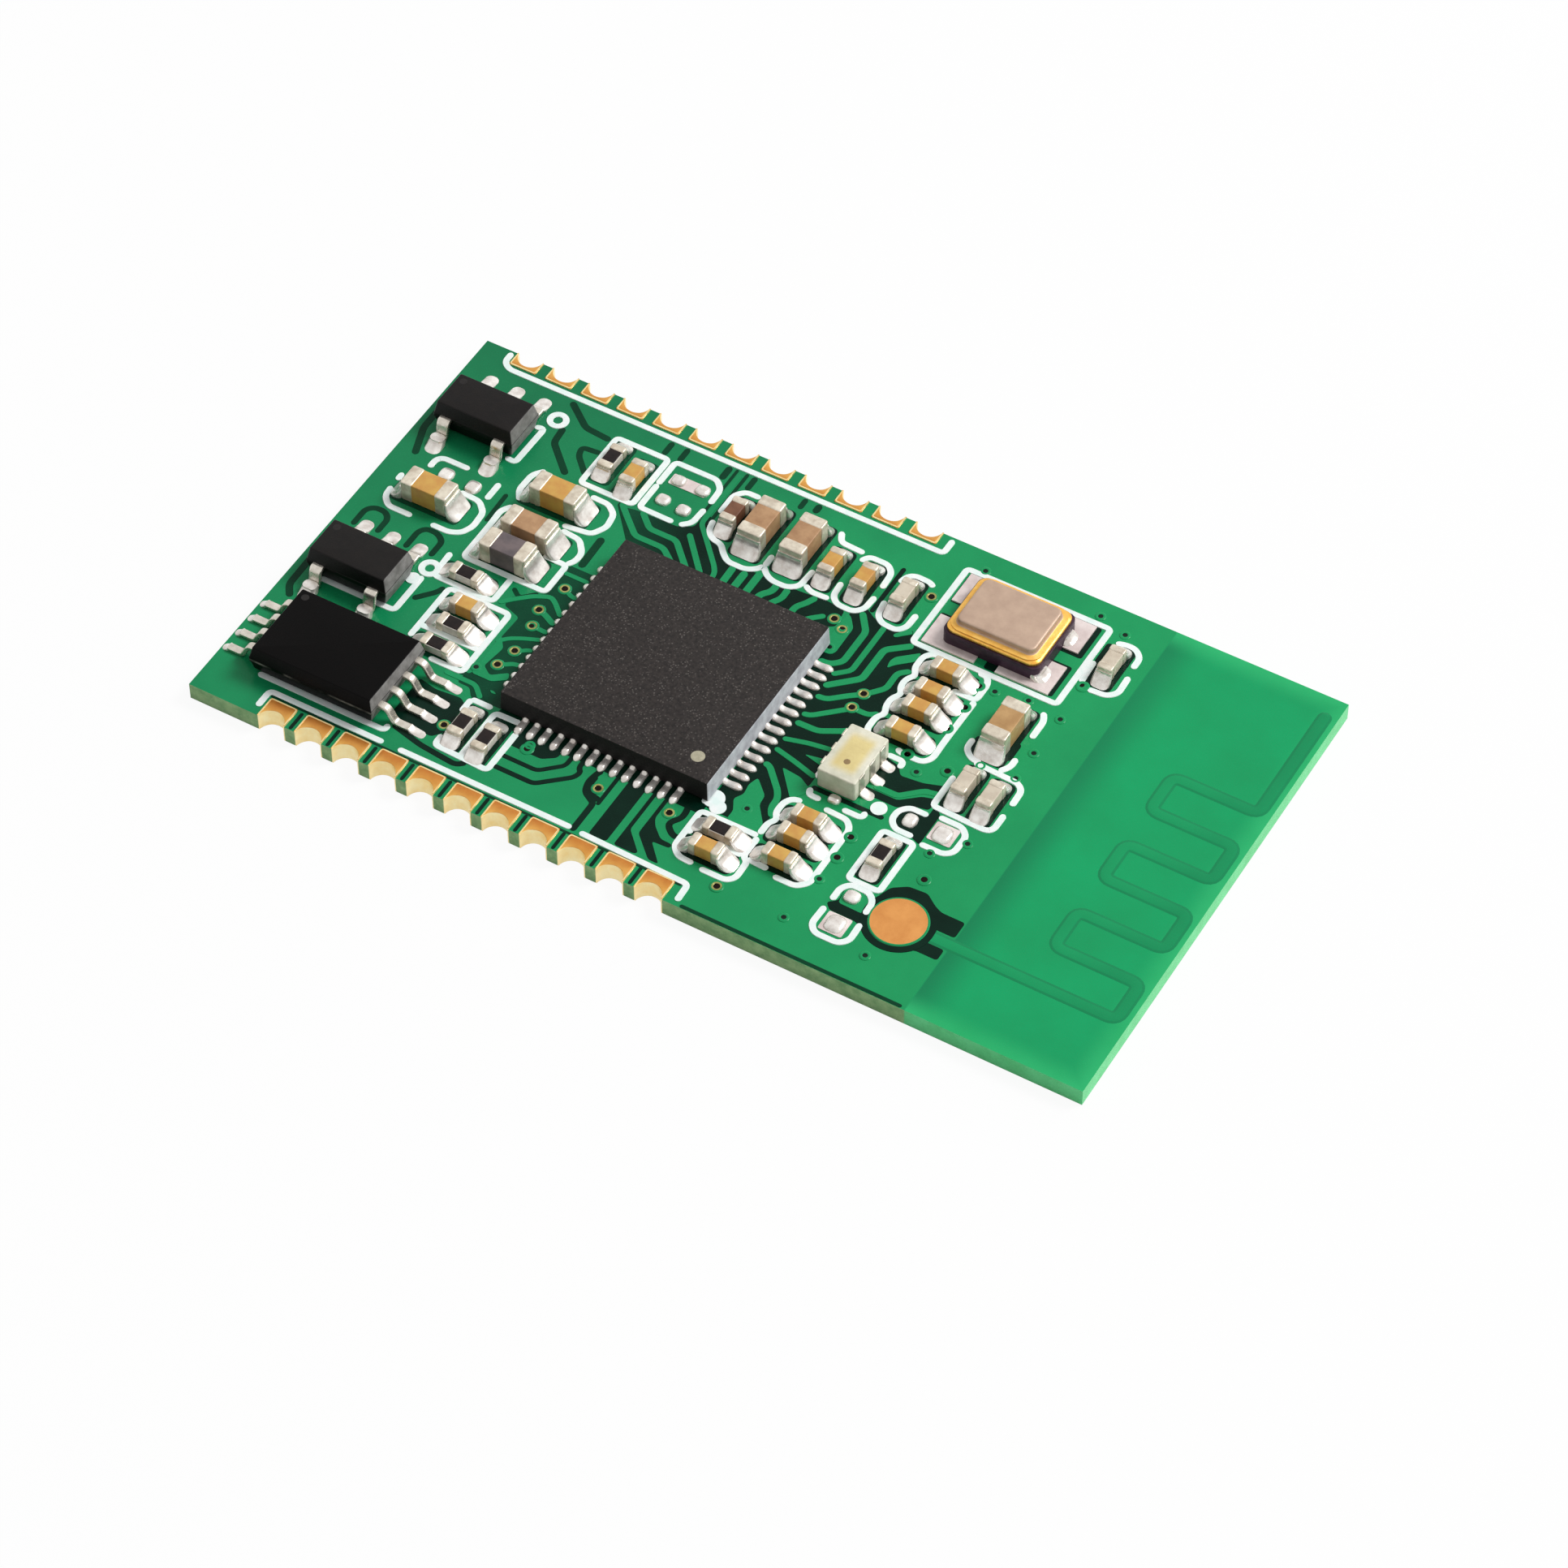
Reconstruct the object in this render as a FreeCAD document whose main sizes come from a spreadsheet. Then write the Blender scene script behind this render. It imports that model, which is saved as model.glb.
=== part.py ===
import FreeCAD, Part
import Sketcher
import math
import os

# Bluetooth audio module: a castellated circuit board with its chips, chip parts and printed antenna.
# The origin is the centre of the board's underside. +X runs along the board to the antenna,
# +Y to the row of twelve edge pads, and +Z up through the parts.

document = FreeCAD.newDocument("bluetooth_audio_module")
sheet = document.addObject("Spreadsheet::Sheet", "Sizes")

# Driving sizes in millimetres, with angles in degrees
sizes = {
    # Board
    "board_thickness": 0.6,
    "west_lane": 7.7,
    "south_lane": 3.11,
    "north_lane": 4.89,
    "rf_lane": 7.91,
    "antenna_zone": 5.59,
    # Copper on the board
    "copper_thickness": 0.035,
    "plating": 0.04,
    # Castellated edge pads
    "edge_pad_pitch": 1.27,
    "edge_pad_first": 1.57,
    "edge_pad_width": 0.94,
    "north_pad_depth": 0.52,
    "south_pad_depth": 0.75,
    "notch_radius": 0.43,
    "notch_outset": 0.05,
    # Vias
    "via_ring_radius": 0.2,
    "via_hole_radius": 0.11,
    # Bluetooth chip
    "chip_side": 7.0,
    "chip_thickness": 0.7,
    "chip_draft": 10.0,
    "chip_terminal_pitch": 0.4,
    "chip_terminal_width": 0.2,
    "chip_terminal_inset": 0.35,
    "chip_terminal_height": 0.05,
    "chip_land_reach": 0.6,
    "chip_wetting_height": 0.16,
    "chip_ground_pad_side": 4.9,
    "pin_mark_radius": 0.21,
    "pin_mark_depth": 0.03,
    "pin_mark_inset": 0.8,
    # Memory chip
    "memory_length": 4.25,
    "memory_width": 2.85,
    "memory_height": 1.0,
    "memory_stand_off": 0.1,
    "memory_lead_pitch": 0.65,
    "memory_lead_width": 0.25,
    "memory_lead_reach": 1.0,
    "memory_lead_foot": 0.5,
    "memory_edge_gap": 0.25,
    "memory_south_gap": 1.3,
    # Regulators
    "regulator_length": 2.8,
    "regulator_width": 1.55,
    "regulator_height": 1.1,
    "regulator_stand_off": 0.08,
    "regulator_lead_pitch": 0.95,
    "regulator_lead_width": 0.4,
    "regulator_lead_reach": 0.62,
    "regulator_lead_foot": 0.35,
    "regulator_1_x": 1.97,
    "regulator_1_y": 1.96,
    "regulator_2_x": 1.97,
    "regulator_2_y": 8.9,
    # Gull-wing leads and moulded bodies
    "lead_thickness": 0.14,
    "lead_bend_radius": 0.07,
    "lead_shoulder_share": 0.5,
    "mould_draft": 12.0,
    # Crystal
    "crystal_length": 3.2,
    "crystal_width": 2.5,
    "crystal_base_height": 0.5,
    "crystal_corner_radius": 0.25,
    "crystal_ring_inset": 0.06,
    "crystal_ring_height": 0.14,
    "crystal_lid_inset": 0.1,
    "crystal_lid_height": 0.05,
    "crystal_panel_inset": 0.31,
    "crystal_panel_height": 0.21,
    "crystal_x": 3.71,
    "crystal_y": 13.64,
    "crystal_pad_length": 1.75,
    "crystal_pad_width": 1.2,
    "crystal_pad_side_reach": 0.5,
    "crystal_pad_end_reach": 0.27,
    "crystal_pad_height": 0.06,
    # Balun
    "balun_length": 2.0,
    "balun_width": 1.25,
    "balun_height": 0.75,
    "balun_edge_radius": 0.06,
    "balun_terminal_width": 0.3,
    "balun_terminal_pitch": 0.6,
    "balun_terminal_thickness": 0.03,
    "balun_x": 2.37,
    "balun_y": 6.82,
    # Chip resistors, capacitors and inductors
    "small_length": 1.0,
    "small_width": 0.5,
    "small_height": 0.5,
    "small_cap_length": 0.25,
    "large_length": 1.6,
    "large_width": 0.8,
    "large_height": 0.75,
    "large_cap_length": 0.35,
    "resistor_height": 0.35,
    "cap_wrap": 0.02,
    # Solder
    "solder_run": 0.2,
    "solder_rise": 0.65,
    "solder_hollow": 0.2,
    "toe_run": 0.2,
    "long_toe_run": 0.38,
    "memory_toe_run": 0.52,
    "toe_rise": 0.13,
    "dome_height": 0.14,
    "dome_rounding": 0.1,
    "dome_corner": 0.09,
    # Antenna and test pad
    "antenna_trace_width": 0.46,
    "antenna_edge_margin": 0.15,
    "antenna_ground_gap": 2.48,
    "antenna_run_pitch": 1.43,
    "antenna_feed_y": 2.64,
    "antenna_tail_margin": 0.59,
    "test_pad_radius": 0.84,
    "test_pad_x": 6.24,
}

# Counts
NORTH_PADS = 12
SOUTH_PADS = 11
CHIP_TERMINALS_PER_SIDE = 14
MEMORY_LEADS_PER_SIDE = 4
ANTENNA_RUNS = 7
VIA_SIDES = 12
NOTCH_SIDES = 20
BEND_STEPS = 2
FILLET_STEPS = 3

# Layout, as expressions of the driving sizes.
# The board is as long as its lanes and the chip between them need. It is wide enough for the
# chip's lanes and for the column of parts over the memory chip, up to the upper regulator's solder.
CHIP_SPAN = "(Sizes.chip_side + 2 * Sizes.chip_land_reach)"
CHIP_COLUMN = f"(Sizes.south_lane + {CHIP_SPAN} + Sizes.north_lane)"
REGULATOR_COLUMN = (
    "(Sizes.memory_south_gap + Sizes.memory_width + Sizes.regulator_2_y + Sizes.regulator_width / 2"
    " + Sizes.regulator_lead_reach + Sizes.long_toe_run + Sizes.north_pad_depth)"
)
BOARD_LENGTH = f"(Sizes.west_lane + {CHIP_SPAN} + Sizes.rf_lane + Sizes.antenna_zone)"
BOARD_WIDTH = f"max({CHIP_COLUMN}; {REGULATOR_COLUMN})"
WEST = f"(-{BOARD_LENGTH} / 2)"
EAST = f"({BOARD_LENGTH} / 2)"
SOUTH = f"(-{BOARD_WIDTH} / 2)"
NORTH = f"({BOARD_WIDTH} / 2)"
CHIP_X = f"({WEST} + Sizes.west_lane + {CHIP_SPAN} / 2)"
CHIP_Y = f"({SOUTH} + Sizes.south_lane + {CHIP_SPAN} / 2)"
CHIP_EAST = f"({WEST} + Sizes.west_lane + {CHIP_SPAN})"
CHIP_NORTH = f"({SOUTH} + Sizes.south_lane + {CHIP_SPAN})"
GROUND_END = f"({EAST} - Sizes.antenna_zone)"
BOARD_TOP = "Sizes.board_thickness"
MEMORY_SPAN = "(Sizes.memory_length + 2 * Sizes.memory_lead_reach)"
MEMORY_X = f"({WEST} + Sizes.memory_edge_gap + {MEMORY_SPAN} / 2)"
MEMORY_Y = f"({SOUTH} + Sizes.memory_south_gap + Sizes.memory_width / 2)"
MEMORY_EAST = f"({WEST} + Sizes.memory_edge_gap + {MEMORY_SPAN})"
MEMORY_NORTH = f"({SOUTH} + Sizes.memory_south_gap + Sizes.memory_width)"

# Chip resistors, capacitors and inductors: (case, turn, line across the board, distance from it,
# line along the board, distance from it)
SMALL = ("Sizes.small_length", "Sizes.small_width", "Sizes.small_height", "Sizes.small_cap_length")
LARGE = ("Sizes.large_length", "Sizes.large_width", "Sizes.large_height", "Sizes.large_cap_length")
FLAT = ("Sizes.small_length", "Sizes.small_width", "Sizes.resistor_height", "Sizes.small_cap_length")
ALONG = 0.0
ACROSS = 90.0
CHIP_PARTS = {
    "capacitor_1": (LARGE, ALONG, WEST, 2.10, MEMORY_NORTH, 5.54),
    "capacitor_2": (LARGE, ALONG, MEMORY_EAST, -1.00, MEMORY_NORTH, 7.31),
    "capacitor_3": (LARGE, ALONG, MEMORY_EAST, -1.00, MEMORY_NORTH, 5.71),
    "inductor_1": (LARGE, ALONG, MEMORY_EAST, -1.06, MEMORY_NORTH, 4.62),
    "resistor_1": (FLAT, ALONG, MEMORY_EAST, -1.74, MEMORY_NORTH, 3.39),
    "capacitor_4": (SMALL, ALONG, MEMORY_EAST, -1.00, MEMORY_NORTH, 2.24),
    "resistor_2": (FLAT, ALONG, MEMORY_EAST, -0.99, MEMORY_NORTH, 1.50),
    "resistor_3": (FLAT, ALONG, MEMORY_EAST, -0.99, MEMORY_NORTH, 0.60),
    "resistor_4": (FLAT, ACROSS, MEMORY_EAST, 1.26, SOUTH, 2.55),
    "resistor_5": (FLAT, ACROSS, MEMORY_EAST, 2.16, SOUTH, 2.40),
    "resistor_6": (FLAT, ACROSS, WEST, 5.99, MEMORY_NORTH, 9.55),
    "capacitor_5": (SMALL, ACROSS, WEST, 6.94, MEMORY_NORTH, 9.24),
    "capacitor_6": (SMALL, ACROSS, CHIP_X, -1.47, CHIP_NORTH, 2.25),
    "capacitor_7": (LARGE, ACROSS, CHIP_X, -0.48, CHIP_NORTH, 2.20),
    "capacitor_8": (LARGE, ACROSS, CHIP_X, 0.93, CHIP_NORTH, 2.22),
    "capacitor_9": (SMALL, ACROSS, CHIP_X, 2.06, CHIP_NORTH, 1.95),
    "capacitor_10": (SMALL, ACROSS, CHIP_X, 3.18, CHIP_NORTH, 1.91),
    "inductor_2": (SMALL, ACROSS, CHIP_X, 4.50, CHIP_NORTH, 1.95),
    "inductor_3": (SMALL, ACROSS, CHIP_EAST, 6.91, SOUTH, 13.98),
    "capacitor_11": (SMALL, ALONG, CHIP_EAST, 2.98, SOUTH, 11.29),
    "capacitor_12": (SMALL, ALONG, CHIP_EAST, 2.98, SOUTH, 10.36),
    "capacitor_13": (SMALL, ALONG, CHIP_EAST, 2.98, SOUTH, 9.61),
    "capacitor_14": (SMALL, ALONG, CHIP_EAST, 2.98, SOUTH, 8.65),
    "capacitor_15": (LARGE, ACROSS, CHIP_EAST, 5.48, SOUTH, 10.20),
    "inductor_4": (SMALL, ACROSS, CHIP_EAST, 5.48, SOUTH, 7.81),
    "inductor_5": (SMALL, ACROSS, CHIP_EAST, 6.36, SOUTH, 7.72),
    "resistor_7": (FLAT, ACROSS, CHIP_EAST, 4.68, SOUTH, 4.36),
    "capacitor_16": (SMALL, ALONG, CHIP_EAST, 2.29, SOUTH, 4.44),
    "capacitor_17": (SMALL, ALONG, CHIP_EAST, 2.29, SOUTH, 3.69),
    "capacitor_18": (SMALL, ALONG, CHIP_EAST, 2.29, SOUTH, 2.80),
    "resistor_8": (FLAT, ALONG, CHIP_EAST, 0.31, SOUTH, 2.87),
    "capacitor_19": (SMALL, ALONG, CHIP_EAST, 0.34, SOUTH, 2.05),
}

# Vias: (line across the board, distance from it, line along the board, distance from it)
VIAS = [
    (WEST, 7.24, MEMORY_NORTH, 3.40),
    (WEST, 7.40, MEMORY_NORTH, 2.77),
    (WEST, 7.48, MEMORY_NORTH, 1.68),
    (WEST, 7.33, MEMORY_NORTH, 0.98),
    (WEST, 7.46, MEMORY_NORTH, 4.49),
    (MEMORY_EAST, 0.74, SOUTH, 2.38),
    (CHIP_X, -2.01, SOUTH, 2.82),
    (CHIP_X, 0.53, SOUTH, 2.58),
    (CHIP_X, 2.75, SOUTH, 2.82),
    (CHIP_X, 2.90, CHIP_NORTH, 0.33),
    (CHIP_X, 3.49, CHIP_NORTH, 0.06),
    (CHIP_EAST, 1.19, SOUTH, 1.18),
    (CHIP_EAST, 1.19, SOUTH, 9.50),
    (CHIP_EAST, 1.15, SOUTH, 8.88),
    (CHIP_EAST, 1.03, SOUTH, 13.79),
    (CHIP_EAST, 3.93, SOUTH, 11.43),
    (CHIP_EAST, 3.97, SOUTH, 10.51),
    (CHIP_EAST, 3.92, SOUTH, 9.55),
    (CHIP_EAST, 3.42, SOUTH, 8.13),
    (CHIP_EAST, 4.72, SOUTH, 8.15),
    (CHIP_EAST, 3.55, SOUTH, 4.63),
    (CHIP_EAST, 3.59, SOUTH, 3.79),
    (CHIP_EAST, 6.11, SOUTH, 4.32),
    (CHIP_EAST, 6.53, SOUTH, 12.94),
]

# Tinned pads with no part fitted: the same four, then length and width
TINNED_PADS = [
    (WEST, 1.97, MEMORY_NORTH, 6.63, 0.50, 0.50),
    (WEST, 2.94, MEMORY_NORTH, 6.59, 0.50, 0.50),
    (WEST, 8.13, CHIP_NORTH, 2.75, 0.48, 0.42),
    (WEST, 8.95, CHIP_NORTH, 2.75, 0.48, 0.42),
    (WEST, 8.11, CHIP_NORTH, 1.85, 0.48, 0.42),
    (WEST, 8.85, CHIP_NORTH, 1.78, 0.48, 0.42),
    (CHIP_EAST, 4.71, SOUTH, 6.00, 0.45, 0.50),
    (CHIP_EAST, 5.77, SOUTH, 6.00, 0.62, 0.62),
    (CHIP_EAST, 4.68, SOUTH, 2.75, 0.50, 0.45),
    (CHIP_EAST, 4.76, SOUTH, 1.67, 0.62, 0.62),
    (CHIP_EAST, 2.46, SOUTH, 5.60, 0.40, 0.32),
]

# Every distance in the three tables joins the driving sizes under the name of its part
for label, (_, _, _, x, _, y) in CHIP_PARTS.items():
    sizes[f"{label}_x"] = x
    sizes[f"{label}_y"] = y
for number, (_, x, _, y) in enumerate(VIAS, start=1):
    sizes[f"via_{number}_x"] = x
    sizes[f"via_{number}_y"] = y
for number, (_, x, _, y, length, width) in enumerate(TINNED_PADS, start=1):
    sizes[f"tinned_pad_{number}_x"] = x
    sizes[f"tinned_pad_{number}_y"] = y
    sizes[f"tinned_pad_{number}_length"] = length
    sizes[f"tinned_pad_{number}_width"] = width
for row, (name, size) in enumerate(sizes.items(), start=1):
    sheet.set(f"A{row}", name)
    sheet.set(f"B{row}", str(size))
    sheet.setAlias(f"B{row}", name)
document.recompute()

parts = []


def value(expression):
    """The number that an expression of the sheet gives."""
    return float(sheet.evalExpression(str(expression)))


def place(thing, x, y, z, turn=0.0):
    """Bind an object's position to expressions, after turning it about Z."""
    thing.Placement = FreeCAD.Placement(FreeCAD.Vector(0, 0, 0), FreeCAD.Rotation(turn, 0, 0))
    thing.setExpression("Placement.Base.x", str(x))
    thing.setExpression("Placement.Base.y", str(y))
    thing.setExpression("Placement.Base.z", str(z))
    return thing


def node(thing, label):
    """Name an object as a sub-part of the module."""
    thing.Label = label
    parts.append(thing)
    return thing


def box(name, length, width, height, x, y, z):
    """A box from its lowest corner."""
    solid = document.addObject("Part::Box", name)
    solid.setExpression("Length", str(length))
    solid.setExpression("Width", str(width))
    solid.setExpression("Height", str(height))
    return place(solid, x, y, z)


def cylinder(name, radius, height, x, y, z):
    """An upright cylinder from the centre of its lower end."""
    solid = document.addObject("Part::Cylinder", name)
    solid.setExpression("Radius", str(radius))
    solid.setExpression("Height", str(height))
    return place(solid, x, y, z)


def bar(name, sides, radius, height, x, y, z):
    """An upright bar with equal flat sides, from the centre of its lower end."""
    solid = document.addObject("Part::Prism", name)
    solid.Polygon = sides
    solid.setExpression("Circumradius", str(radius))
    solid.setExpression("Height", str(height))
    return place(solid, x, y, z)


def cut(name, base, tool):
    solid = document.addObject("Part::Cut", name)
    solid.Base = base
    solid.Tool = tool
    return solid


def common(name, base, tool):
    solid = document.addObject("Part::Common", name)
    solid.Base = base
    solid.Tool = tool
    return solid


def fuse(name, pieces):
    solid = document.addObject("Part::MultiFuse", name)
    solid.Shapes = pieces
    return solid


def compound(name, pieces):
    group = document.addObject("Part::Compound", name)
    group.Links = pieces
    return group


def xy_plane(body):
    """The body's own horizontal plane."""
    return next(plane for plane in body.Origin.OriginFeatures if plane.Role == "XY_Plane")


def centred_rectangle(body, name, length, width, level):
    """A horizontal rectangle sketch, centred on the body, at a height."""
    sketch = body.newObject("Sketcher::SketchObject", name)
    sketch.AttachmentSupport = [(xy_plane(body), "")]
    sketch.MapMode = "FlatFace"
    sketch.setExpression("AttachmentOffset.Base.z", str(level))
    half_length = value(length) / 2
    half_width = value(width) / 2
    corners = [
        FreeCAD.Vector(-half_length, -half_width, 0),
        FreeCAD.Vector(half_length, -half_width, 0),
        FreeCAD.Vector(half_length, half_width, 0),
        FreeCAD.Vector(-half_length, half_width, 0),
    ]
    for start, end in zip(corners, corners[1:] + corners[:1]):
        sketch.addGeometry(Part.LineSegment(start, end))
    for line in range(4):
        sketch.addConstraint(Sketcher.Constraint("Coincident", line, 2, (line + 1) % 4, 1))
    for line, direction in enumerate(("Horizontal", "Vertical", "Horizontal", "Vertical")):
        sketch.addConstraint(Sketcher.Constraint(direction, line))
    sketch.addConstraint(Sketcher.Constraint("Symmetric", 0, 1, 1, 2, -1, 1))
    along = sketch.addConstraint(Sketcher.Constraint("DistanceX", 0, 1, 0, 2, 2 * half_length))
    across = sketch.addConstraint(Sketcher.Constraint("DistanceY", 1, 1, 1, 2, 2 * half_width))
    sketch.setExpression(f"Constraints[{along}]", str(length))
    sketch.setExpression(f"Constraints[{across}]", str(width))
    return sketch


def pad(body, sketch, height, draft=None, downward=False):
    """Extrude a sketch up or down, narrowing by the draft angle."""
    feature = body.newObject("PartDesign::Pad", sketch.Name + "_pad")
    feature.Profile = sketch
    feature.setExpression("Length", str(height))
    feature.Reversed = downward
    if draft is not None:
        feature.setExpression("TaperAngle", f"-{draft}")
    return feature


def offset_sketch(sketch, x, y):
    """Move a sketch in its plane by expressions."""
    sketch.setExpression("AttachmentOffset.Base.x", str(x))
    sketch.setExpression("AttachmentOffset.Base.y", str(y))
    return sketch


def mirrored(body, feature, role):
    """Repeat a feature on the other side of one of the body's own planes."""
    plane = next(plane for plane in body.Origin.OriginFeatures if plane.Role == role)
    copy = body.newObject("PartDesign::Mirrored", feature.Name + "_mirrored")
    copy.Originals = [feature]
    copy.MirrorPlane = (plane, [""])
    body.Tip = copy
    return copy


def round_upright_edges(body, feature, radius):
    """Fillet the upright edges of a feature."""
    document.recompute()
    upright = []
    for number, edge in enumerate(feature.Shape.Edges, start=1):
        box_of_edge = edge.BoundBox
        if box_of_edge.XLength < 1e-6 and box_of_edge.YLength < 1e-6:
            upright.append(f"Edge{number}")
    fillet = body.newObject("PartDesign::Fillet", feature.Name + "_corners")
    fillet.Base = (feature, upright)
    fillet.setExpression("Radius", str(radius))
    return fillet


# Castellated edge pads: each is a land on top, a half barrel in the notch and a land underneath.
# The lower land lies in a recess of the board, so the underside stays flat.
def edge_pad(name, x, edge_y, inward, depth):
    """One pad. inward is 1 for the south edge and -1 for the north edge."""
    low_y = edge_y if inward > 0 else f"{edge_y} - {depth}"
    left = f"{x} - Sizes.edge_pad_width / 2"
    land = ("Sizes.edge_pad_width", depth, "Sizes.copper_thickness")
    upper = box(f"{name}_upper", *land, left, low_y, BOARD_TOP)
    lower = box(f"{name}_lower", *land, left, low_y, 0)
    centre_y = f"{edge_y} - {inward} * Sizes.notch_outset"
    barrel_radius = "(Sizes.notch_radius + Sizes.plating)"
    barrel = bar(f"{name}_barrel", NOTCH_SIDES, barrel_radius, BOARD_TOP, x, centre_y, 0)
    barrel_left = f"{x} - {barrel_radius}"
    keep = box(f"{name}_keep", f"2 * {barrel_radius}", depth, BOARD_TOP, barrel_left, low_y, 0)
    lining = common(f"{name}_lining", barrel, keep)
    copper = fuse(f"{name}_copper", [upper, lower, lining])
    drill_height = f"({BOARD_TOP} + 2 * Sizes.copper_thickness)"
    drill = bar(f"{name}_drill", NOTCH_SIDES, "Sizes.notch_radius", drill_height, x, centre_y, 0)
    notch = bar(f"{name}_notch", NOTCH_SIDES, barrel_radius, drill_height, x, centre_y, 0)
    cutouts.extend([notch, box(f"{name}_recess", *land, left, low_y, 0)])
    return cut(name, copper, drill)


cutouts = []
for row_name, edge_y, inward, depth, count, first in (
    ("edge_pads_north", NORTH, -1, "Sizes.north_pad_depth", NORTH_PADS, 0),
    ("edge_pads_south", SOUTH, 1, "Sizes.south_pad_depth", SOUTH_PADS, 1),
):
    row = []
    for number in range(count):
        x = f"({WEST} + Sizes.edge_pad_first + {first + number} * Sizes.edge_pad_pitch)"
        row.append(edge_pad(f"{row_name}_{number + 1}", x, edge_y, inward, depth))
    node(compound(row_name, row), row_name)

# Vias: plated tubes through the board whose upper ends stand proud as rings
barrels = []
for number, (x_line, _, y_line, _) in enumerate(VIAS, start=1):
    at_x = f"{x_line} + Sizes.via_{number}_x"
    at_y = f"{y_line} + Sizes.via_{number}_y"
    height = f"({BOARD_TOP} + Sizes.copper_thickness)"
    outside = bar(f"via_{number}_outside", VIA_SIDES, "Sizes.via_ring_radius", height, at_x, at_y, 0)
    inside = bar(f"via_{number}_inside", VIA_SIDES, "Sizes.via_hole_radius", height, at_x, at_y, 0)
    barrels.append(cut(f"via_{number}", outside, inside))
    cutouts.append(bar(f"via_{number}_drill", VIA_SIDES, "Sizes.via_ring_radius", height, at_x, at_y, 0))
node(compound("via_barrels", barrels), "via_barrels")

# Circuit board: one sheet of glass-epoxy laminate, notched along both long edges and drilled
slab = box("board_slab", BOARD_LENGTH, BOARD_WIDTH, BOARD_TOP, WEST, SOUTH, 0)
node(cut("circuit_board", slab, fuse("board_cutouts", cutouts)), "circuit_board")

# Antenna: a trace that folds back and forth over the clear end of the board.
# Its feed comes from the round test pad.
TEST_PAD_X = f"({CHIP_EAST} + Sizes.test_pad_x)"
FEED_Y = f"({SOUTH} + Sizes.antenna_feed_y)"
EAST_COLUMN = f"({EAST} - Sizes.antenna_edge_margin - Sizes.antenna_trace_width / 2)"
WEST_COLUMN = f"({GROUND_END} + Sizes.antenna_ground_gap)"
TAIL_END = f"({NORTH} - Sizes.antenna_tail_margin)"


def strip(name, x_start, y_start, x_end, y_end):
    """A straight stretch of trace between two centres, the first one nearer the south-west."""
    trace = "Sizes.antenna_trace_width"
    length = f"({x_end} - {x_start} + {trace})"
    width = f"({y_end} - {y_start} + {trace})"
    x = f"{x_start} - {trace} / 2"
    y = f"{y_start} - {trace} / 2"
    return box(name, length, width, "Sizes.copper_thickness", x, y, BOARD_TOP)


test_pad = cylinder(
    "test_pad", "Sizes.test_pad_radius", "Sizes.copper_thickness", TEST_PAD_X, FEED_Y, BOARD_TOP
)
node(test_pad, "test_pad")
strips = [strip("antenna_feed", TEST_PAD_X, FEED_Y, EAST_COLUMN, FEED_Y)]
for run in range(1, ANTENNA_RUNS):
    run_y = f"({FEED_Y} + {run} * Sizes.antenna_run_pitch)"
    last_y = f"({FEED_Y} + {run - 1} * Sizes.antenna_run_pitch)"
    column = EAST_COLUMN if run % 2 else WEST_COLUMN
    strips.append(strip(f"antenna_run_{run}", WEST_COLUMN, run_y, EAST_COLUMN, run_y))
    strips.append(strip(f"antenna_turn_{run}", column, last_y, column, run_y))
top_run_y = f"({FEED_Y} + {ANTENNA_RUNS - 1} * Sizes.antenna_run_pitch)"
tail_end_y = f"({TAIL_END} - Sizes.antenna_trace_width / 2)"
strips.append(strip("antenna_tail", EAST_COLUMN, top_run_y, EAST_COLUMN, tail_end_y))
antenna_strips = fuse("antenna_strips", strips)
node(cut("antenna_trace", antenna_strips, test_pad), "antenna_trace")

# Bluetooth chip: a moulded leadless package on 56 terminals and a ground pad
chip = document.addObject("PartDesign::Body", "bluetooth_chip_body")
chip_base = centred_rectangle(chip, "chip_base", "Sizes.chip_side", "Sizes.chip_side", 0)
pad(chip, chip_base, "Sizes.chip_thickness", draft="Sizes.chip_draft")
pin_mark = chip.newObject("Sketcher::SketchObject", "chip_pin_mark")
pin_mark.AttachmentSupport = [(xy_plane(chip), "")]
pin_mark.MapMode = "FlatFace"
pin_mark.setExpression("AttachmentOffset.Base.z", "Sizes.chip_thickness")
offset_sketch(
    pin_mark,
    "Sizes.chip_side / 2 - Sizes.pin_mark_inset",
    "Sizes.pin_mark_inset - Sizes.chip_side / 2",
)
pin_mark.addGeometry(
    Part.Circle(FreeCAD.Vector(0, 0, 0), FreeCAD.Vector(0, 0, 1), value("Sizes.pin_mark_radius"))
)
pin_mark.addConstraint(Sketcher.Constraint("Coincident", 0, 3, -1, 1))
radius = pin_mark.addConstraint(Sketcher.Constraint("Radius", 0, value("Sizes.pin_mark_radius")))
pin_mark.setExpression(f"Constraints[{radius}]", "Sizes.pin_mark_radius")
dimple = chip.newObject("PartDesign::Pocket", "chip_dimple")
dimple.Profile = pin_mark
dimple.setExpression("Length", "Sizes.pin_mark_depth")
node(place(chip, CHIP_X, CHIP_Y, f"{BOARD_TOP} + Sizes.chip_terminal_height"), "bluetooth_chip_body")

ground_side = "Sizes.chip_ground_pad_side"
node(
    box(
        "bluetooth_chip_ground_pad", ground_side, ground_side, "Sizes.chip_terminal_height",
        f"{CHIP_X} - {ground_side} / 2", f"{CHIP_Y} - {ground_side} / 2", BOARD_TOP,
    ),
    "bluetooth_chip_ground_pad",
)


def moved(shape, x, y, z, turn=0.0):
    """A copy of a shape, turned about Z and then moved."""
    copy = shape.copy()
    copy.Placement = FreeCAD.Placement(FreeCAD.Vector(x, y, z), FreeCAD.Rotation(turn, 0, 0))
    return copy


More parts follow.
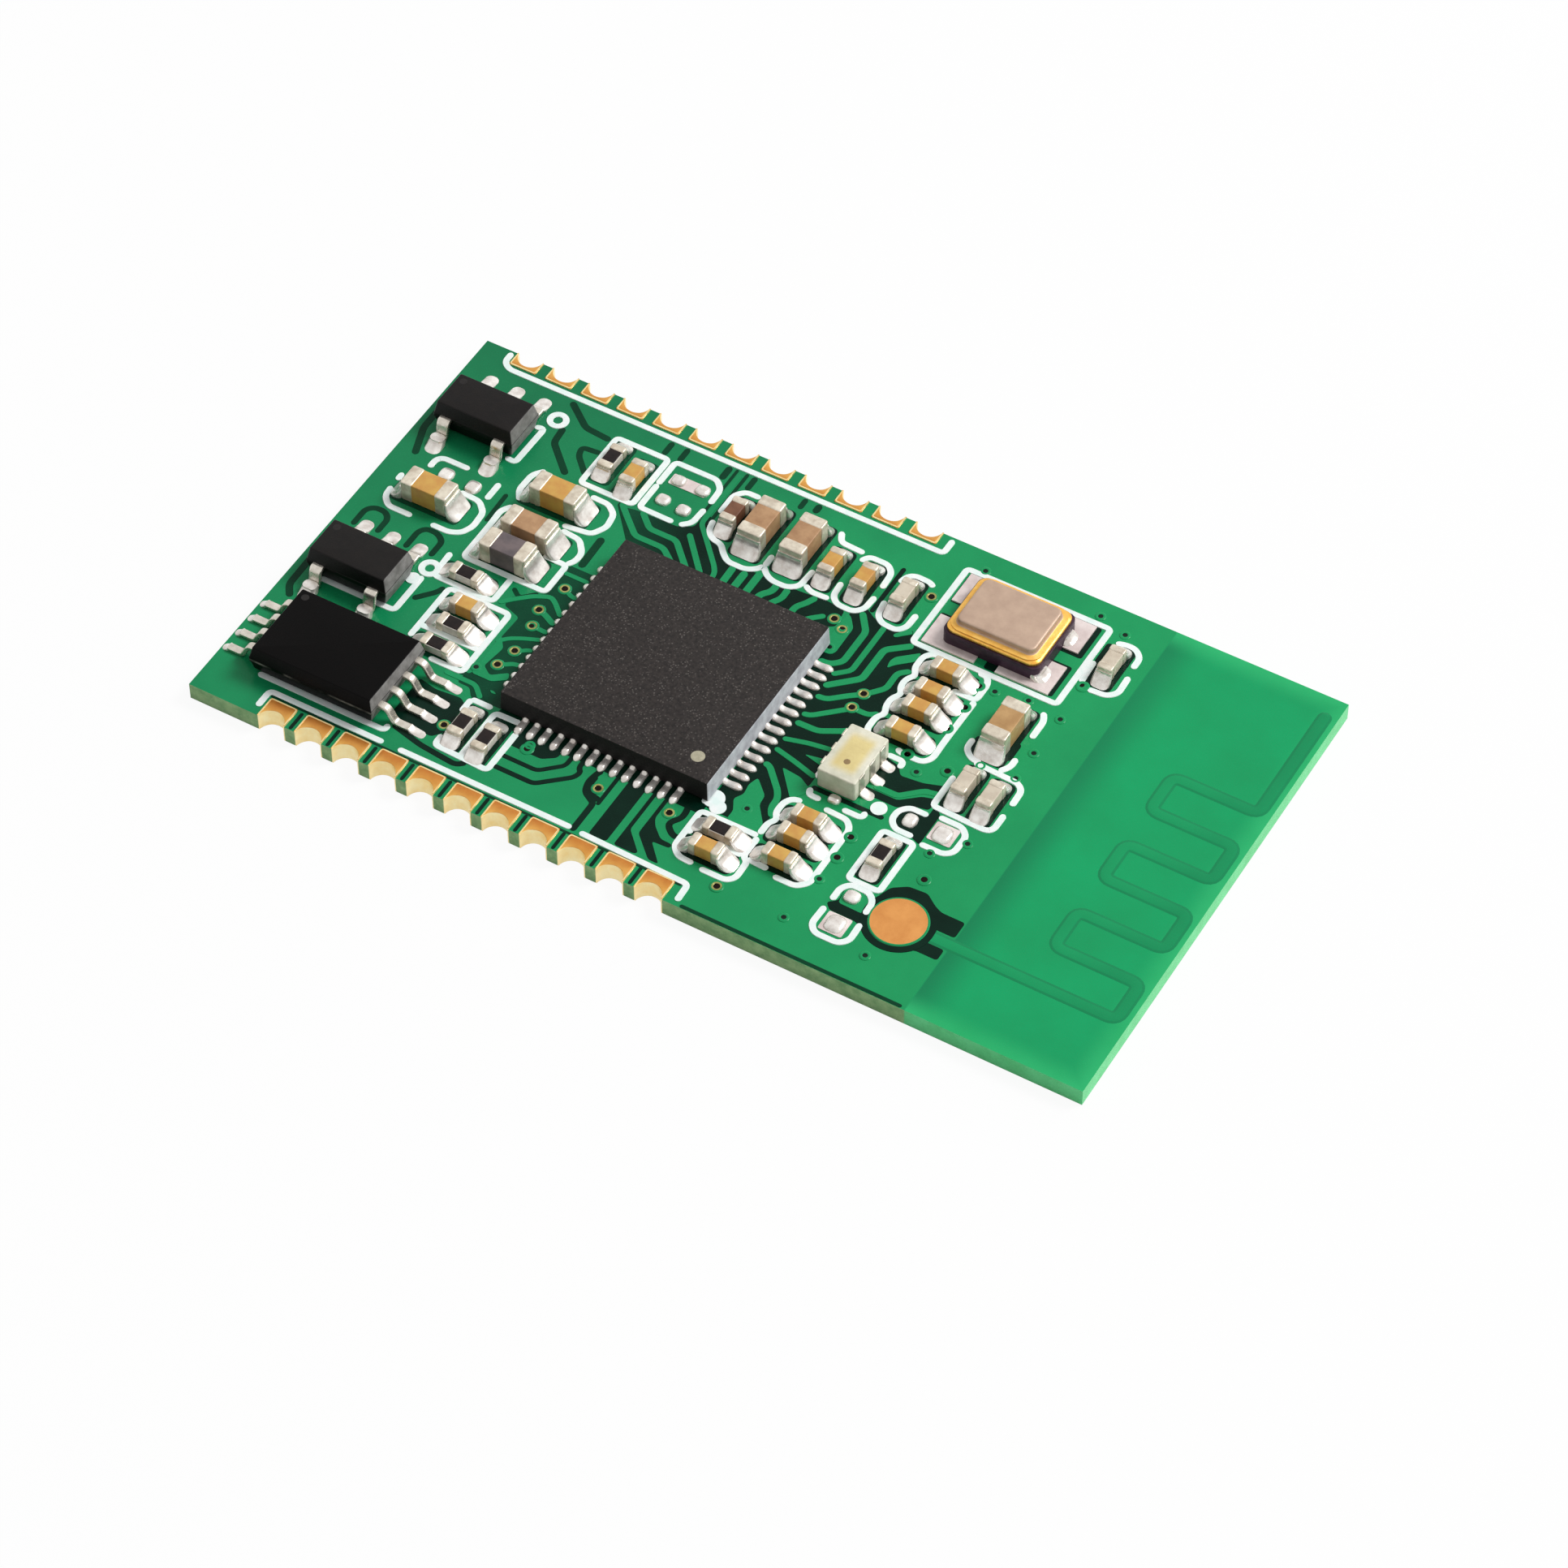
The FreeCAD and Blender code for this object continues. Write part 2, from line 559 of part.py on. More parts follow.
def prism(outline, width):
    """A side outline of (distance out, height) points, extruded evenly to both sides."""
    points = [FreeCAD.Vector(out, -width / 2, up) for out, up in outline]
    face = Part.Face(Part.makePolygon(points + points[:1]))
    return face.extrude(FreeCAD.Vector(0, width, 0))


def feature(name, shapes):
    """A sub-part of loose pieces, worked out in code."""
    group = document.addObject("Part::Feature", name)
    group.Shape = Part.makeCompound(shapes)
    group.Placement = FreeCAD.Placement()
    return node(group, name)


# Terminals of the bluetooth chip: each is wetted by solder that climbs the package's side
wetted = value("Sizes.chip_wetting_height")
terminal_height = value("Sizes.chip_terminal_height")
reach = value("Sizes.chip_land_reach")
inset = value("Sizes.chip_terminal_inset")
terminal_outline = [
    (-inset, 0),
    (reach, 0),
    (reach, terminal_height),
    (0, wetted),
    (0, terminal_height),
    (-inset, terminal_height),
]
terminal = prism(terminal_outline, value("Sizes.chip_terminal_width"))
terminals = []
for side in range(4):
    turn = 90.0 * side
    outward = FreeCAD.Rotation(turn, 0, 0).multVec(FreeCAD.Vector(value("Sizes.chip_side") / 2, 0, 0))
    along = FreeCAD.Rotation(turn, 0, 0).multVec(FreeCAD.Vector(0, 1, 0))
    for number in range(CHIP_TERMINALS_PER_SIDE):
        step = (number - (CHIP_TERMINALS_PER_SIDE - 1) / 2) * value("Sizes.chip_terminal_pitch")
        x = value(CHIP_X) + outward.x + along.x * step
        y = value(CHIP_Y) + outward.y + along.y * step
        terminals.append(moved(terminal, x, y, value(BOARD_TOP), turn))
feature("bluetooth_chip_terminals", terminals)


# Moulded packages with gull-wing leads: two drafted halves meet at a flat band as thick as the leads
def moulded_body(name, length, width, stand_off, height, x, y, turn):
    """A moulded package. Heights are above the board."""
    body = document.addObject("PartDesign::Body", name)
    band_low = f"(({stand_off} + {height}) / 2 - Sizes.lead_thickness / 2)"
    band_high = f"(({stand_off} + {height}) / 2 + Sizes.lead_thickness / 2)"
    band = centred_rectangle(body, f"{name}_band", length, width, band_low)
    pad(body, band, "Sizes.lead_thickness")
    lower = centred_rectangle(body, f"{name}_lower", length, width, band_low)
    pad(body, lower, f"{band_low} - {stand_off}", draft="Sizes.mould_draft", downward=True)
    upper = centred_rectangle(body, f"{name}_upper", length, width, band_high)
    pad(body, upper, f"{height} - {band_high}", draft="Sizes.mould_draft")
    return node(place(body, x, y, BOARD_TOP, turn), name)


def rounded(outline, radii):
    """An outline whose corners are rounded by short straight steps where a radius is given."""
    points = []
    corners = [FreeCAD.Vector(out, 0, up) for out, up in outline]
    for number, (corner, radius) in enumerate(zip(corners, radii)):
        if radius == 0:
            points.append((corner.x, corner.z))
            continue
        back = (corners[number - 1] - corner).normalize()
        ahead = (corners[(number + 1) % len(corners)] - corner).normalize()
        half_angle = back.getAngle(ahead) / 2
        centre = corner + (back + ahead).normalize() * (radius / math.sin(half_angle))
        first = corner + back * (radius / math.tan(half_angle)) - centre
        last = corner + ahead * (radius / math.tan(half_angle)) - centre
        for step in range(BEND_STEPS + 1):
            along_arc = first + (last - first) * (step / BEND_STEPS)
            point = centre + along_arc.normalize() * radius
            points.append((point.x, point.z))
    return points


def gull_wing(exit_height, reach, foot, width):
    """A lead that leaves a package at a height, bends down and lies flat on its foot."""
    thickness = value("Sizes.lead_thickness")
    heel = reach - foot
    shoulder = value("Sizes.lead_shoulder_share") * heel
    slope = math.atan2(exit_height - thickness / 2, heel - shoulder)
    shift = thickness / 2 * math.tan(slope / 2)
    outline = [
        (0.0, exit_height + thickness / 2),
        (shoulder + shift, exit_height + thickness / 2),
        (heel + shift, thickness),
        (reach, thickness),
        (reach, 0.0),
        (heel - shift, 0.0),
        (shoulder - shift, exit_height - thickness / 2),
        (0.0, exit_height - thickness / 2),
    ]
    inner = value("Sizes.lead_bend_radius")
    outer = inner + thickness / 2
    return prism(rounded(outline, [0, outer, inner, 0, 0, outer, inner, 0]), width)


def exit_height(stand_off, height):
    return (value(stand_off) + value(height)) / 2


moulded_body(
    "memory_chip_body", "Sizes.memory_length", "Sizes.memory_width",
    "Sizes.memory_stand_off", "Sizes.memory_height", MEMORY_X, MEMORY_Y, 0.0,
)
memory_lead = gull_wing(
    exit_height("Sizes.memory_stand_off", "Sizes.memory_height"),
    value("Sizes.memory_lead_reach"),
    value("Sizes.memory_lead_foot"),
    value("Sizes.memory_lead_width"),
)
# Toes of the leads, where their solder starts: (x, y, turn, solder run, lead width).
# The lands run on further where the board has room.
toe_run = value("Sizes.toe_run")
long_toe_run = value("Sizes.long_toe_run")
toes = []
memory_leads = []
for turn, side, run in ((0.0, 1, value("Sizes.memory_toe_run")), (180.0, -1, toe_run)):
    for number in range(MEMORY_LEADS_PER_SIDE):
        step = (number - (MEMORY_LEADS_PER_SIDE - 1) / 2) * value("Sizes.memory_lead_pitch")
        x = value(MEMORY_X) + side * value("Sizes.memory_length") / 2
        y = value(MEMORY_Y) + step
        memory_leads.append(moved(memory_lead, x, y, value(BOARD_TOP), turn))
        toe_x = x + side * value("Sizes.memory_lead_reach")
        toes.append((toe_x, y, turn, run, value("Sizes.memory_lead_width")))
feature("memory_chip_leads", memory_leads)

# Regulators: two leads on the south side, three on the north side
regulator_lead = gull_wing(
    exit_height("Sizes.regulator_stand_off", "Sizes.regulator_height"),
    value("Sizes.regulator_lead_reach"),
    value("Sizes.regulator_lead_foot"),
    value("Sizes.regulator_lead_width"),
)
for name in ("regulator_1", "regulator_2"):
    centre_x = f"({WEST} + Sizes.{name}_x)"
    centre_y = f"({MEMORY_NORTH} + Sizes.{name}_y)"
    moulded_body(
        f"{name}_body", "Sizes.regulator_length", "Sizes.regulator_width",
        "Sizes.regulator_stand_off", "Sizes.regulator_height", centre_x, centre_y, 0.0,
    )
    leads = []
    for turn, side, steps, run in ((90.0, 1, (-1, 0, 1), long_toe_run), (270.0, -1, (-1, 1), toe_run)):
        for step in steps:
            x = value(centre_x) + step * value("Sizes.regulator_lead_pitch")
            y = value(centre_y) + side * value("Sizes.regulator_width") / 2
            leads.append(moved(regulator_lead, x, y, value(BOARD_TOP), turn))
            toe_y = y + side * value("Sizes.regulator_lead_reach")
            toes.append((x, toe_y, turn, run, value("Sizes.regulator_lead_width")))
    feature(f"{name}_leads", leads)

# Crystal: a ceramic tray, a plated seal ring round its rim and a metal lid on the ring, whose middle
# is pressed up as a panel
CRYSTAL_X = f"({CHIP_EAST} + Sizes.crystal_x)"
CRYSTAL_Y = f"({SOUTH} + Sizes.crystal_y)"


def crystal_layer(name, inset, level, height):
    """One layer of the crystal: a rectangle with round corners, inset from the tray's sides."""
    body = document.addObject("PartDesign::Body", name)
    length = f"(Sizes.crystal_length - 2 * {inset})"
    width = f"(Sizes.crystal_width - 2 * {inset})"
    outline = centred_rectangle(body, f"{name}_outline", length, width, 0)
    layer = pad(body, outline, height)
    round_upright_edges(body, layer, "Sizes.crystal_corner_radius")
    return place(body, CRYSTAL_X, CRYSTAL_Y, f"{BOARD_TOP} + {level}")


ring_level = "Sizes.crystal_base_height"
lid_level = f"({ring_level} + Sizes.crystal_ring_height)"
panel_level = f"({lid_level} + Sizes.crystal_lid_height)"
crystal_base = crystal_layer("crystal_tray", "0", "0", "Sizes.crystal_base_height")
seal_ring = crystal_layer("crystal_ring", "Sizes.crystal_ring_inset", ring_level, "Sizes.crystal_ring_height")
flange = crystal_layer("crystal_flange", "Sizes.crystal_lid_inset", lid_level, "Sizes.crystal_lid_height")
panel = crystal_layer("crystal_panel", "Sizes.crystal_panel_inset", panel_level, "Sizes.crystal_panel_height")
node(crystal_base, "crystal_base")
node(seal_ring, "crystal_seal_ring")
node(fuse("crystal_lid_solid", [flange, panel]), "crystal_lid")

# Tinned lands of the crystal: one reaches out round each lower corner of the tray
corner_lands = []
for x_side in (-1, 1):
    for y_side in (-1, 1):
        pad_length = "Sizes.crystal_pad_length"
        pad_width = "Sizes.crystal_pad_width"
        outer_x = f"{CRYSTAL_X} + {x_side} * (Sizes.crystal_length / 2 + Sizes.crystal_pad_side_reach)"
        outer_y = f"{CRYSTAL_Y} + {y_side} * (Sizes.crystal_width / 2 + Sizes.crystal_pad_end_reach)"
        low_x = outer_x if x_side < 0 else f"{outer_x} - {pad_length}"
        low_y = outer_y if y_side < 0 else f"{outer_y} - {pad_width}"
        name = f"crystal_land_{len(corner_lands) + 1}"
        land = box(name, pad_length, pad_width, "Sizes.crystal_pad_height", low_x, low_y, BOARD_TOP)
        corner_lands.append(cut(f"{name}_outside", land, crystal_base))
node(compound("crystal_lands", corner_lands), "crystal_lands")

# Balun: a ceramic block with three plated terminals down each long side
BALUN_X = f"({CHIP_EAST} + Sizes.balun_x)"
BALUN_Y = f"({SOUTH} + Sizes.balun_y)"
balun = document.addObject("PartDesign::Body", "balun_body")
balun_outline = centred_rectangle(balun, "balun_outline", "Sizes.balun_width", "Sizes.balun_length", 0)
balun_block = pad(balun, balun_outline, "Sizes.balun_height")
round_upright_edges(balun, balun_block, "Sizes.balun_edge_radius")
node(place(balun, BALUN_X, BALUN_Y, BOARD_TOP), "balun_body")
balun_terminals = []
for side in (-1, 1):
    for step in (-1, 0, 1):
        plate = "Sizes.balun_terminal_thickness"
        face_x = f"{BALUN_X} + {side} * Sizes.balun_width / 2"
        low_x = face_x if side > 0 else f"{face_x} - {plate}"
        low_y = f"{BALUN_Y} + {step} * Sizes.balun_terminal_pitch - Sizes.balun_terminal_width / 2"
        name = f"balun_terminal_{len(balun_terminals) + 1}"
        balun_terminals.append(
            box(name, plate, "Sizes.balun_terminal_width", "Sizes.balun_height", low_x, low_y, BOARD_TOP)
        )
        toe_x = value(face_x) + side * value(plate)
        toe_y = value(BALUN_Y) + step * value("Sizes.balun_terminal_pitch")
        turn = 0.0 if side > 0 else 180.0
        toes.append((toe_x, toe_y, turn, toe_run, value("Sizes.balun_terminal_width")))
node(compound("balun_terminals", balun_terminals), "balun_terminals")


# Chip parts: ceramic blocks with a metal cap wrapped round each end
def chip_part(label, case, x, y, turn):
    """A ceramic block, smaller all round than its two end caps by the wrap."""
    length, width, height, cap_length = case
    wrap = "Sizes.cap_wrap"
    body = document.addObject("PartDesign::Body", label)
    core_length = f"({length} - 2 * {wrap})"
    core_width = f"({width} - 2 * {wrap})"
    core = centred_rectangle(body, f"{label}_core", core_length, core_width, wrap)
    pad(body, core, f"({height} - 2 * {wrap})")
    cap_outline = centred_rectangle(body, f"{label}_cap", cap_length, width, 0)
    offset_sketch(cap_outline, f"({length} - {cap_length}) / 2", 0)
    cap = pad(body, cap_outline, height)
    mirrored(body, cap, "YZ_Plane")
    return node(place(body, x, y, BOARD_TOP, turn), label)


# Solder joints: (x, y, turn, run, rise, width) of the wall that each one climbs
joints = []
for label, (case, turn, x_line, _, y_line, _) in CHIP_PARTS.items():
    centre_x = f"({x_line} + Sizes.{label}_x)"
    centre_y = f"({y_line} + Sizes.{label}_y)"
    chip_part(label, case, centre_x, centre_y, turn)
    length, width, height, _ = (value(size) for size in case)
    rise = height * value("Sizes.solder_rise")
    for end in (turn, turn + 180.0):
        outward = FreeCAD.Rotation(end, 0, 0).multVec(FreeCAD.Vector(length / 2, 0, 0))
        x = value(centre_x) + outward.x
        y = value(centre_y) + outward.y
        joints.append((x, y, end, value("Sizes.solder_run"), rise, width))
for x, y, turn, run, width in toes:
    joints.append((x, y, turn, run, value("Sizes.toe_rise"), width))


def solder_fillet(run, rise, width):
    """A hollow fillet of solder: it climbs a wall and runs out along the board."""
    hollow = value("Sizes.solder_hollow")
    outline = [(0.0, 0.0)]
    for step in range(FILLET_STEPS + 1):
        up = step / FILLET_STEPS
        out = 1 - up
        outline.append((
            run * (out ** 2 + 2 * out * up * hollow),
            rise * (up ** 2 + 2 * out * up * hollow),
        ))
    return prism(outline, width)


feature("solder_joints", [
    moved(solder_fillet(run, rise, width), x, y, value(BOARD_TOP), turn)
    for x, y, turn, run, rise, width in joints
])


# Tinned pads: lands with no part fitted, each under a low dome of solder
def solder_dome(length, width):
    """A pad-shaped block of solder with its corners and upper edges bevelled."""
    lowest = FreeCAD.Vector(-length / 2, -width / 2, 0)
    block = Part.makeBox(length, width, value("Sizes.dome_height"), lowest)
    upright = [edge for edge in block.Edges if edge.BoundBox.ZLength > 1e-6]
    block = block.makeChamfer(value("Sizes.dome_corner"), upright)
    top = block.BoundBox.ZMax
    rim = [edge for edge in block.Edges if edge.BoundBox.ZMin > top - 1e-6]
    return block.makeChamfer(value("Sizes.dome_rounding"), rim)


domes = []
for number, (x_line, _, y_line, _, _, _) in enumerate(TINNED_PADS, start=1):
    name = f"Sizes.tinned_pad_{number}"
    dome = solder_dome(value(f"{name}_length"), value(f"{name}_width"))
    x = value(f"{x_line} + {name}_x")
    y = value(f"{y_line} + {name}_y")
    domes.append(moved(dome, x, y, value(BOARD_TOP)))
feature("tinned_pads", domes)

# Build, check every object and write each sub-part to its own file
document.recompute()
for thing in document.Objects:
    if "Invalid" in thing.State or "Error" in thing.State:
        raise RuntimeError(f"{thing.Name} failed: {thing.State}")
for thing in parts:
    if thing.Shape.isNull() or not thing.Shape.isValid():
        raise RuntimeError(f"{thing.Label} has no valid shape")
os.makedirs("parts", exist_ok=True)
for thing in parts:
    thing.Shape.exportStep(f"parts/{thing.Label}.step")
    print(thing.Label, len(thing.Shape.Solids), round(thing.Shape.Volume, 4))
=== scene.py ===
import math

import bpy
import numpy as np
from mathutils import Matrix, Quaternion, Vector


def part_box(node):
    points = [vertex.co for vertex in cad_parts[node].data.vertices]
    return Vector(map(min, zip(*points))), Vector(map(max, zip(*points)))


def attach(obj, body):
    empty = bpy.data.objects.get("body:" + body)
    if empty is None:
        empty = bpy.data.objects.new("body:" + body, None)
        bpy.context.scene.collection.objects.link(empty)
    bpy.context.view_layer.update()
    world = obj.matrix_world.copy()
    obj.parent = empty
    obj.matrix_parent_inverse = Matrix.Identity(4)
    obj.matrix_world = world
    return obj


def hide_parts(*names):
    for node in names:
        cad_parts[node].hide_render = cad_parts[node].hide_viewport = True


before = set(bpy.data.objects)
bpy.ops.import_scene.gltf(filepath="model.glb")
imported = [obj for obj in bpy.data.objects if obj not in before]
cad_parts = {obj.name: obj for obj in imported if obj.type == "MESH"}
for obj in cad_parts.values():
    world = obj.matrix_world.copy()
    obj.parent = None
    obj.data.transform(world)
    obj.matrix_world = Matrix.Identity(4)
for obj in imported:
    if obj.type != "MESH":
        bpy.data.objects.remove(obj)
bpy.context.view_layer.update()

# Camera: it looks down on the board from the south-south-east, as a product camera does with a
# long lens. Angles are in degrees, and lengths in millimetres.
camera_azimuth = 30.382
camera_elevation = 49.684
camera_roll = -0.121
camera_distance = 158.28
camera_target = (2.118, -2.703, 0.6)
camera_lens = 127.37
azimuth = math.radians(camera_azimuth)
elevation = math.radians(camera_elevation)
back = Vector((
    math.sin(azimuth) * math.cos(elevation),
    -math.cos(azimuth) * math.cos(elevation),
    math.sin(elevation),
))
camera = bpy.data.objects.new("camera", bpy.data.cameras.new("camera"))
bpy.context.scene.collection.objects.link(camera)
camera.data.sensor_width = 36
camera.data.lens = camera_lens
camera.data.clip_start = 0.01
camera.location = (Vector(camera_target) + back * camera_distance) * 0.001
camera.rotation_mode = "QUATERNION"
roll = Quaternion((0, 0, 1), math.radians(camera_roll))
camera.rotation_quaternion = (-back).to_track_quat("-Z", "Y") @ roll
bpy.context.scene.camera = camera
bpy.context.scene.view_settings.view_transform = "Standard"


# Circuit board: a sheet of glass-epoxy laminate, routed to size, with a green solder mask on both faces.
# The routed edges show pale olive glass cloth. The antenna's end has no copper inside, so light passes
# through it: its glow along its rims is painted light, and its dimness beside the ground copper is painted
# shade.
def plug(tree, node, inputs):
    """Give a node's inputs their values, or links where what is given is another node's output."""
    for name, given in inputs.items():
        if isinstance(given, bpy.types.NodeSocket):
            tree.links.new(given, node.inputs[name])
        else:
            node.inputs[name].default_value = given


def add(tree, kind, inputs=None, **settings):
    """A node of a kind, with its settings and its inputs."""
    made = tree.nodes.new(kind)
    for name, setting in settings.items():
        setattr(made, name, setting)
    plug(tree, made, inputs or {})
    return made


def maths(tree, operation, first, second=0.0):
    """The result of one maths operation on two sockets or numbers."""
    return add(tree, "ShaderNodeMath", {0: first, 1: second}, operation=operation).outputs[0]


def rgb(screen):
    """A colour of the light space from red, green and blue in screen values from 0 to 255: each
    share of 255 is raised to the power 2.2."""
    return (*((np.array(screen) / 255) ** 2.2), 1.0)


def new_group(name, inputs, outputs):
    """An empty node group with named inputs (name, kind, value) and outputs (name, kind)."""
    group = bpy.data.node_groups.new(name, "ShaderNodeTree")
    for label, kind, given in inputs:
        socket = group.interface.new_socket(label, in_out="INPUT", socket_type=kind)
        socket.default_value = given
    for label, kind in outputs:
        group.interface.new_socket(label, in_out="OUTPUT", socket_type=kind)
    return group, group.nodes.new("NodeGroupInput"), group.nodes.new("NodeGroupOutput")


def millimetres(tree):
    """The object coordinates in millimetres."""
    place = add(tree, "ShaderNodeTexCoord").outputs["Object"]
    scaled = add(tree, "ShaderNodeVectorMath", operation="SCALE", inputs={0: place, "Scale": 1000.0})
    return scaled.outputs["Vector"]


# Cloudy change between two tints. Sockets 6, 7 and 2 of the mix node are its two colours and result.
mottle, given, out = new_group(
    "mottle",
    [("Tint", "NodeSocketColor", (1, 1, 1, 1)), ("Shade", "NodeSocketColor", (0, 0, 0, 1)),
     ("Scale", "NodeSocketFloat", 1.0)],
    [("Color", "NodeSocketColor"), ("Mask", "NodeSocketFloat")],
)
cloud = add(mottle, "ShaderNodeTexNoise", {
    "Vector": millimetres(mottle), "Scale": given.outputs["Scale"], "Detail": 5.0, "Roughness": 0.6,
})
spread = add(mottle, "ShaderNodeMapRange", {
    "Value": cloud.outputs["Fac"], "From Min": 0.35, "From Max": 0.65,
})
blend = add(mottle, "ShaderNodeMix", {
    "Factor": spread.outputs["Result"], 6: given.outputs["Tint"], 7: given.outputs["Shade"],
}, data_type="RGBA")
plug(mottle, out, {"Color": blend.outputs[2], "Mask": spread.outputs["Result"]})

# Fine relief of a surface: grain over a slow waviness, as a height
grain, given, out = new_group(
    "grain",
    [("Scale", "NodeSocketFloat", 10.0), ("Wave", "NodeSocketFloat", 0.5)],
    [("Height", "NodeSocketFloat"), ("Mask", "NodeSocketFloat")],
)
where = millimetres(grain)
fine = add(grain, "ShaderNodeTexNoise", {
    "Vector": where, "Scale": given.outputs["Scale"], "Detail": 4.0,
})
slow = add(grain, "ShaderNodeTexNoise", {"Vector": where, "Scale": 1.3, "Detail": 2.0})
waved = maths(grain, "MULTIPLY", slow.outputs["Fac"], given.outputs["Wave"])
plug(grain, out, {"Height": maths(grain, "ADD", fine.outputs["Fac"], waved), "Mask": fine.outputs["Fac"]})


def mottled(tree, tint, shade, patches):
    """The mottle group in a material: two screen colours in so many patches per mm."""
    inputs = {"Tint": rgb(tint), "Shade": rgb(shade), "Scale": patches}
    return add(tree, "ShaderNodeGroup", inputs, node_tree=mottle).outputs["Color"]


def finish(name, tint, shade, patches, rough, relief, depth, metallic=0.0, gloss=0.5, coat=0.0, wave=0.5):
    """A material: two tints in patches, a roughness range, a relief of so many bumps per mm that
    are so many mm deep, and how strongly it shines."""
    material = bpy.data.materials.new(name)
    material.use_nodes = True
    tree = material.node_tree
    colour = mottled(tree, tint, shade, patches)
    surface = add(tree, "ShaderNodeGroup", {"Scale": relief, "Wave": wave}, node_tree=grain)
    roughness = add(tree, "ShaderNodeMapRange", {
        "Value": surface.outputs["Mask"], "From Min": 0.3, "From Max": 0.7,
        "To Min": rough[0], "To Max": rough[1],
    })
    bump = add(tree, "ShaderNodeBump", {
        "Height": surface.outputs["Height"], "Strength": 1.0, "Distance": depth * 0.001,
    })
    plug(tree, tree.nodes["Principled BSDF"], {
        "Base Color": colour, "Roughness": roughness.outputs["Result"], "Normal": bump.outputs["Normal"],
        "Metallic": metallic, "Specular IOR Level": gloss, "Coat Weight": coat, "Coat Roughness": 0.08,
    })
    return material


def mask_finish(name, tint, shade, patches=0.8, depth=0.001, gloss=0.14):
    """Solder mask: an even, slightly rippled lacquer that shines a little."""
    return finish(name, tint, shade, patches, rough=(0.2, 0.3), relief=14.0, depth=depth, gloss=gloss)


def part_of_colour(material, mask, tint, shade, patches):
    """Lay a second pair of tints over a material's colour where a mask is 1."""
    tree = material.node_tree
    shader = tree.nodes["Principled BSDF"]
    under = shader.inputs["Base Color"].links[0].from_socket
    over = mottled(tree, tint, shade, patches)
    mixed = add(tree, "ShaderNodeMix", {"Factor": mask, 6: under, 7: over}, data_type="RGBA")
    plug(tree, shader, {"Base Color": mixed.outputs[2]})


def ramp(tree, socket, start, end):
    """A mask that goes smoothly from 0 at the lower value to 1 at the higher one, or the other way
    round where the start is the higher one."""
    low, high = min(start, end), max(start, end)
    made = add(tree, "ShaderNodeMapRange", {
        "Value": socket, "From Min": low, "From Max": high,
        "To Min": float(start > end), "To Max": float(start < end),
    }, interpolation_type="SMOOTHSTEP")
    return made.outputs["Result"]


def place_axes(tree):
    """The three object coordinates in millimetres, one socket each."""
    return add(tree, "ShaderNodeSeparateXYZ", {0: millimetres(tree)}).outputs


def facing(tree):
    """The three parts of the mesh's own normal, one socket each."""
    normal = add(tree, "ShaderNodeNewGeometry").outputs["True Normal"]
    return add(tree, "ShaderNodeSeparateXYZ", {0: normal}).outputs


def steepness(tree):
    """How upright a face is: 0 on level faces and 1 on walls."""
    return maths(tree, "SUBTRACT", 1.0, maths(tree, "ABSOLUTE", facing(tree)["Z"]))


def dress(node, material):
    """Give a CAD node that stays in the picture a material in place of its own."""
    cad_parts[node].data.materials.clear()
    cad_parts[node].data.materials.append(material)


def box_of(node):
    """The lowest and highest corners of a CAD node, in millimetres."""
    return [np.array(corner) * 1000 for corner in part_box(node)]


board_low, board_high = box_of("circuit_board")
top = board_high[2]
antenna_end = 5.59
ground_end = board_high[0] - antenna_end


def paint_light_on_mask(material):
    """Paint light and shade on a solder mask over copper by its place: paler in the east and darker in the
    north-west, as the studio light falls.
    """
    tree = material.node_tree
    x, y, _ = place_axes(tree)
    # Painted light and shade: the mask is painted paler towards the east, on the side of the key light, and
    # darker towards the north-west.
    part_of_colour(material, ramp(tree, x, -13.0, 9.0), (36, 158, 96), (32, 148, 90), patches=0.35)
    far = maths(tree, "SUBTRACT", y, maths(tree, "MULTIPLY", x, 0.6))
    shaded = maths(tree, "MULTIPLY", ramp(tree, far, 5.0, 16.0), 0.7)
    part_of_colour(material, shaded, (27, 116, 76), (24, 106, 70), patches=0.35)


board_finish = mask_finish("green_solder_mask", (31, 142, 90), (27, 132, 84), patches=0.35, depth=0.0012)
paint_light_on_mask(board_finish)
tree = board_finish.node_tree
x, y, _ = place_axes(tree)
bare = ramp(tree, x, ground_end - 0.03, ground_end + 0.03)
part_of_colour(board_finish, bare, (28, 154, 94), (26, 164, 101), patches=0.3)
# Painted shade: the antenna's end is dimmer beside the ground copper, which blocks the light passing
# through the laminate.
painted_shade_beside_copper = maths(tree, "MULTIPLY", bare, ramp(tree, x, ground_end + 1.3, ground_end - 0.1))
part_of_colour(board_finish, painted_shade_beside_copper, (26, 134, 86), (25, 128, 83), patches=0.3)
to_north, to_south = maths(tree, "SUBTRACT", board_high[1], y), maths(tree, "SUBTRACT", y, board_low[1])
to_side = maths(tree, "MINIMUM", to_north, to_south)
to_rim = maths(tree, "MINIMUM", maths(tree, "SUBTRACT", board_high[0], x), to_side)
# Painted glow: brighter along the antenna end's rims, where light passes through the laminate.
rim = maths(tree, "MULTIPLY", bare, ramp(tree, to_rim, 0.8, -0.1))
part_of_colour(board_finish, rim, (52, 184, 114), (44, 176, 106), patches=0.5)
edge = ramp(tree, steepness(tree), 0.4, 0.6)
part_of_colour(board_finish, edge, (150, 188, 128), (112, 158, 100), patches=2.6)
# Painted glow on the routed edge at the antenna's end.
lit_edge = maths(tree, "MULTIPLY", edge, bare)
part_of_colour(board_finish, lit_edge, (104, 222, 146), (84, 206, 126), patches=1.5)
dress("circuit_board", board_finish)


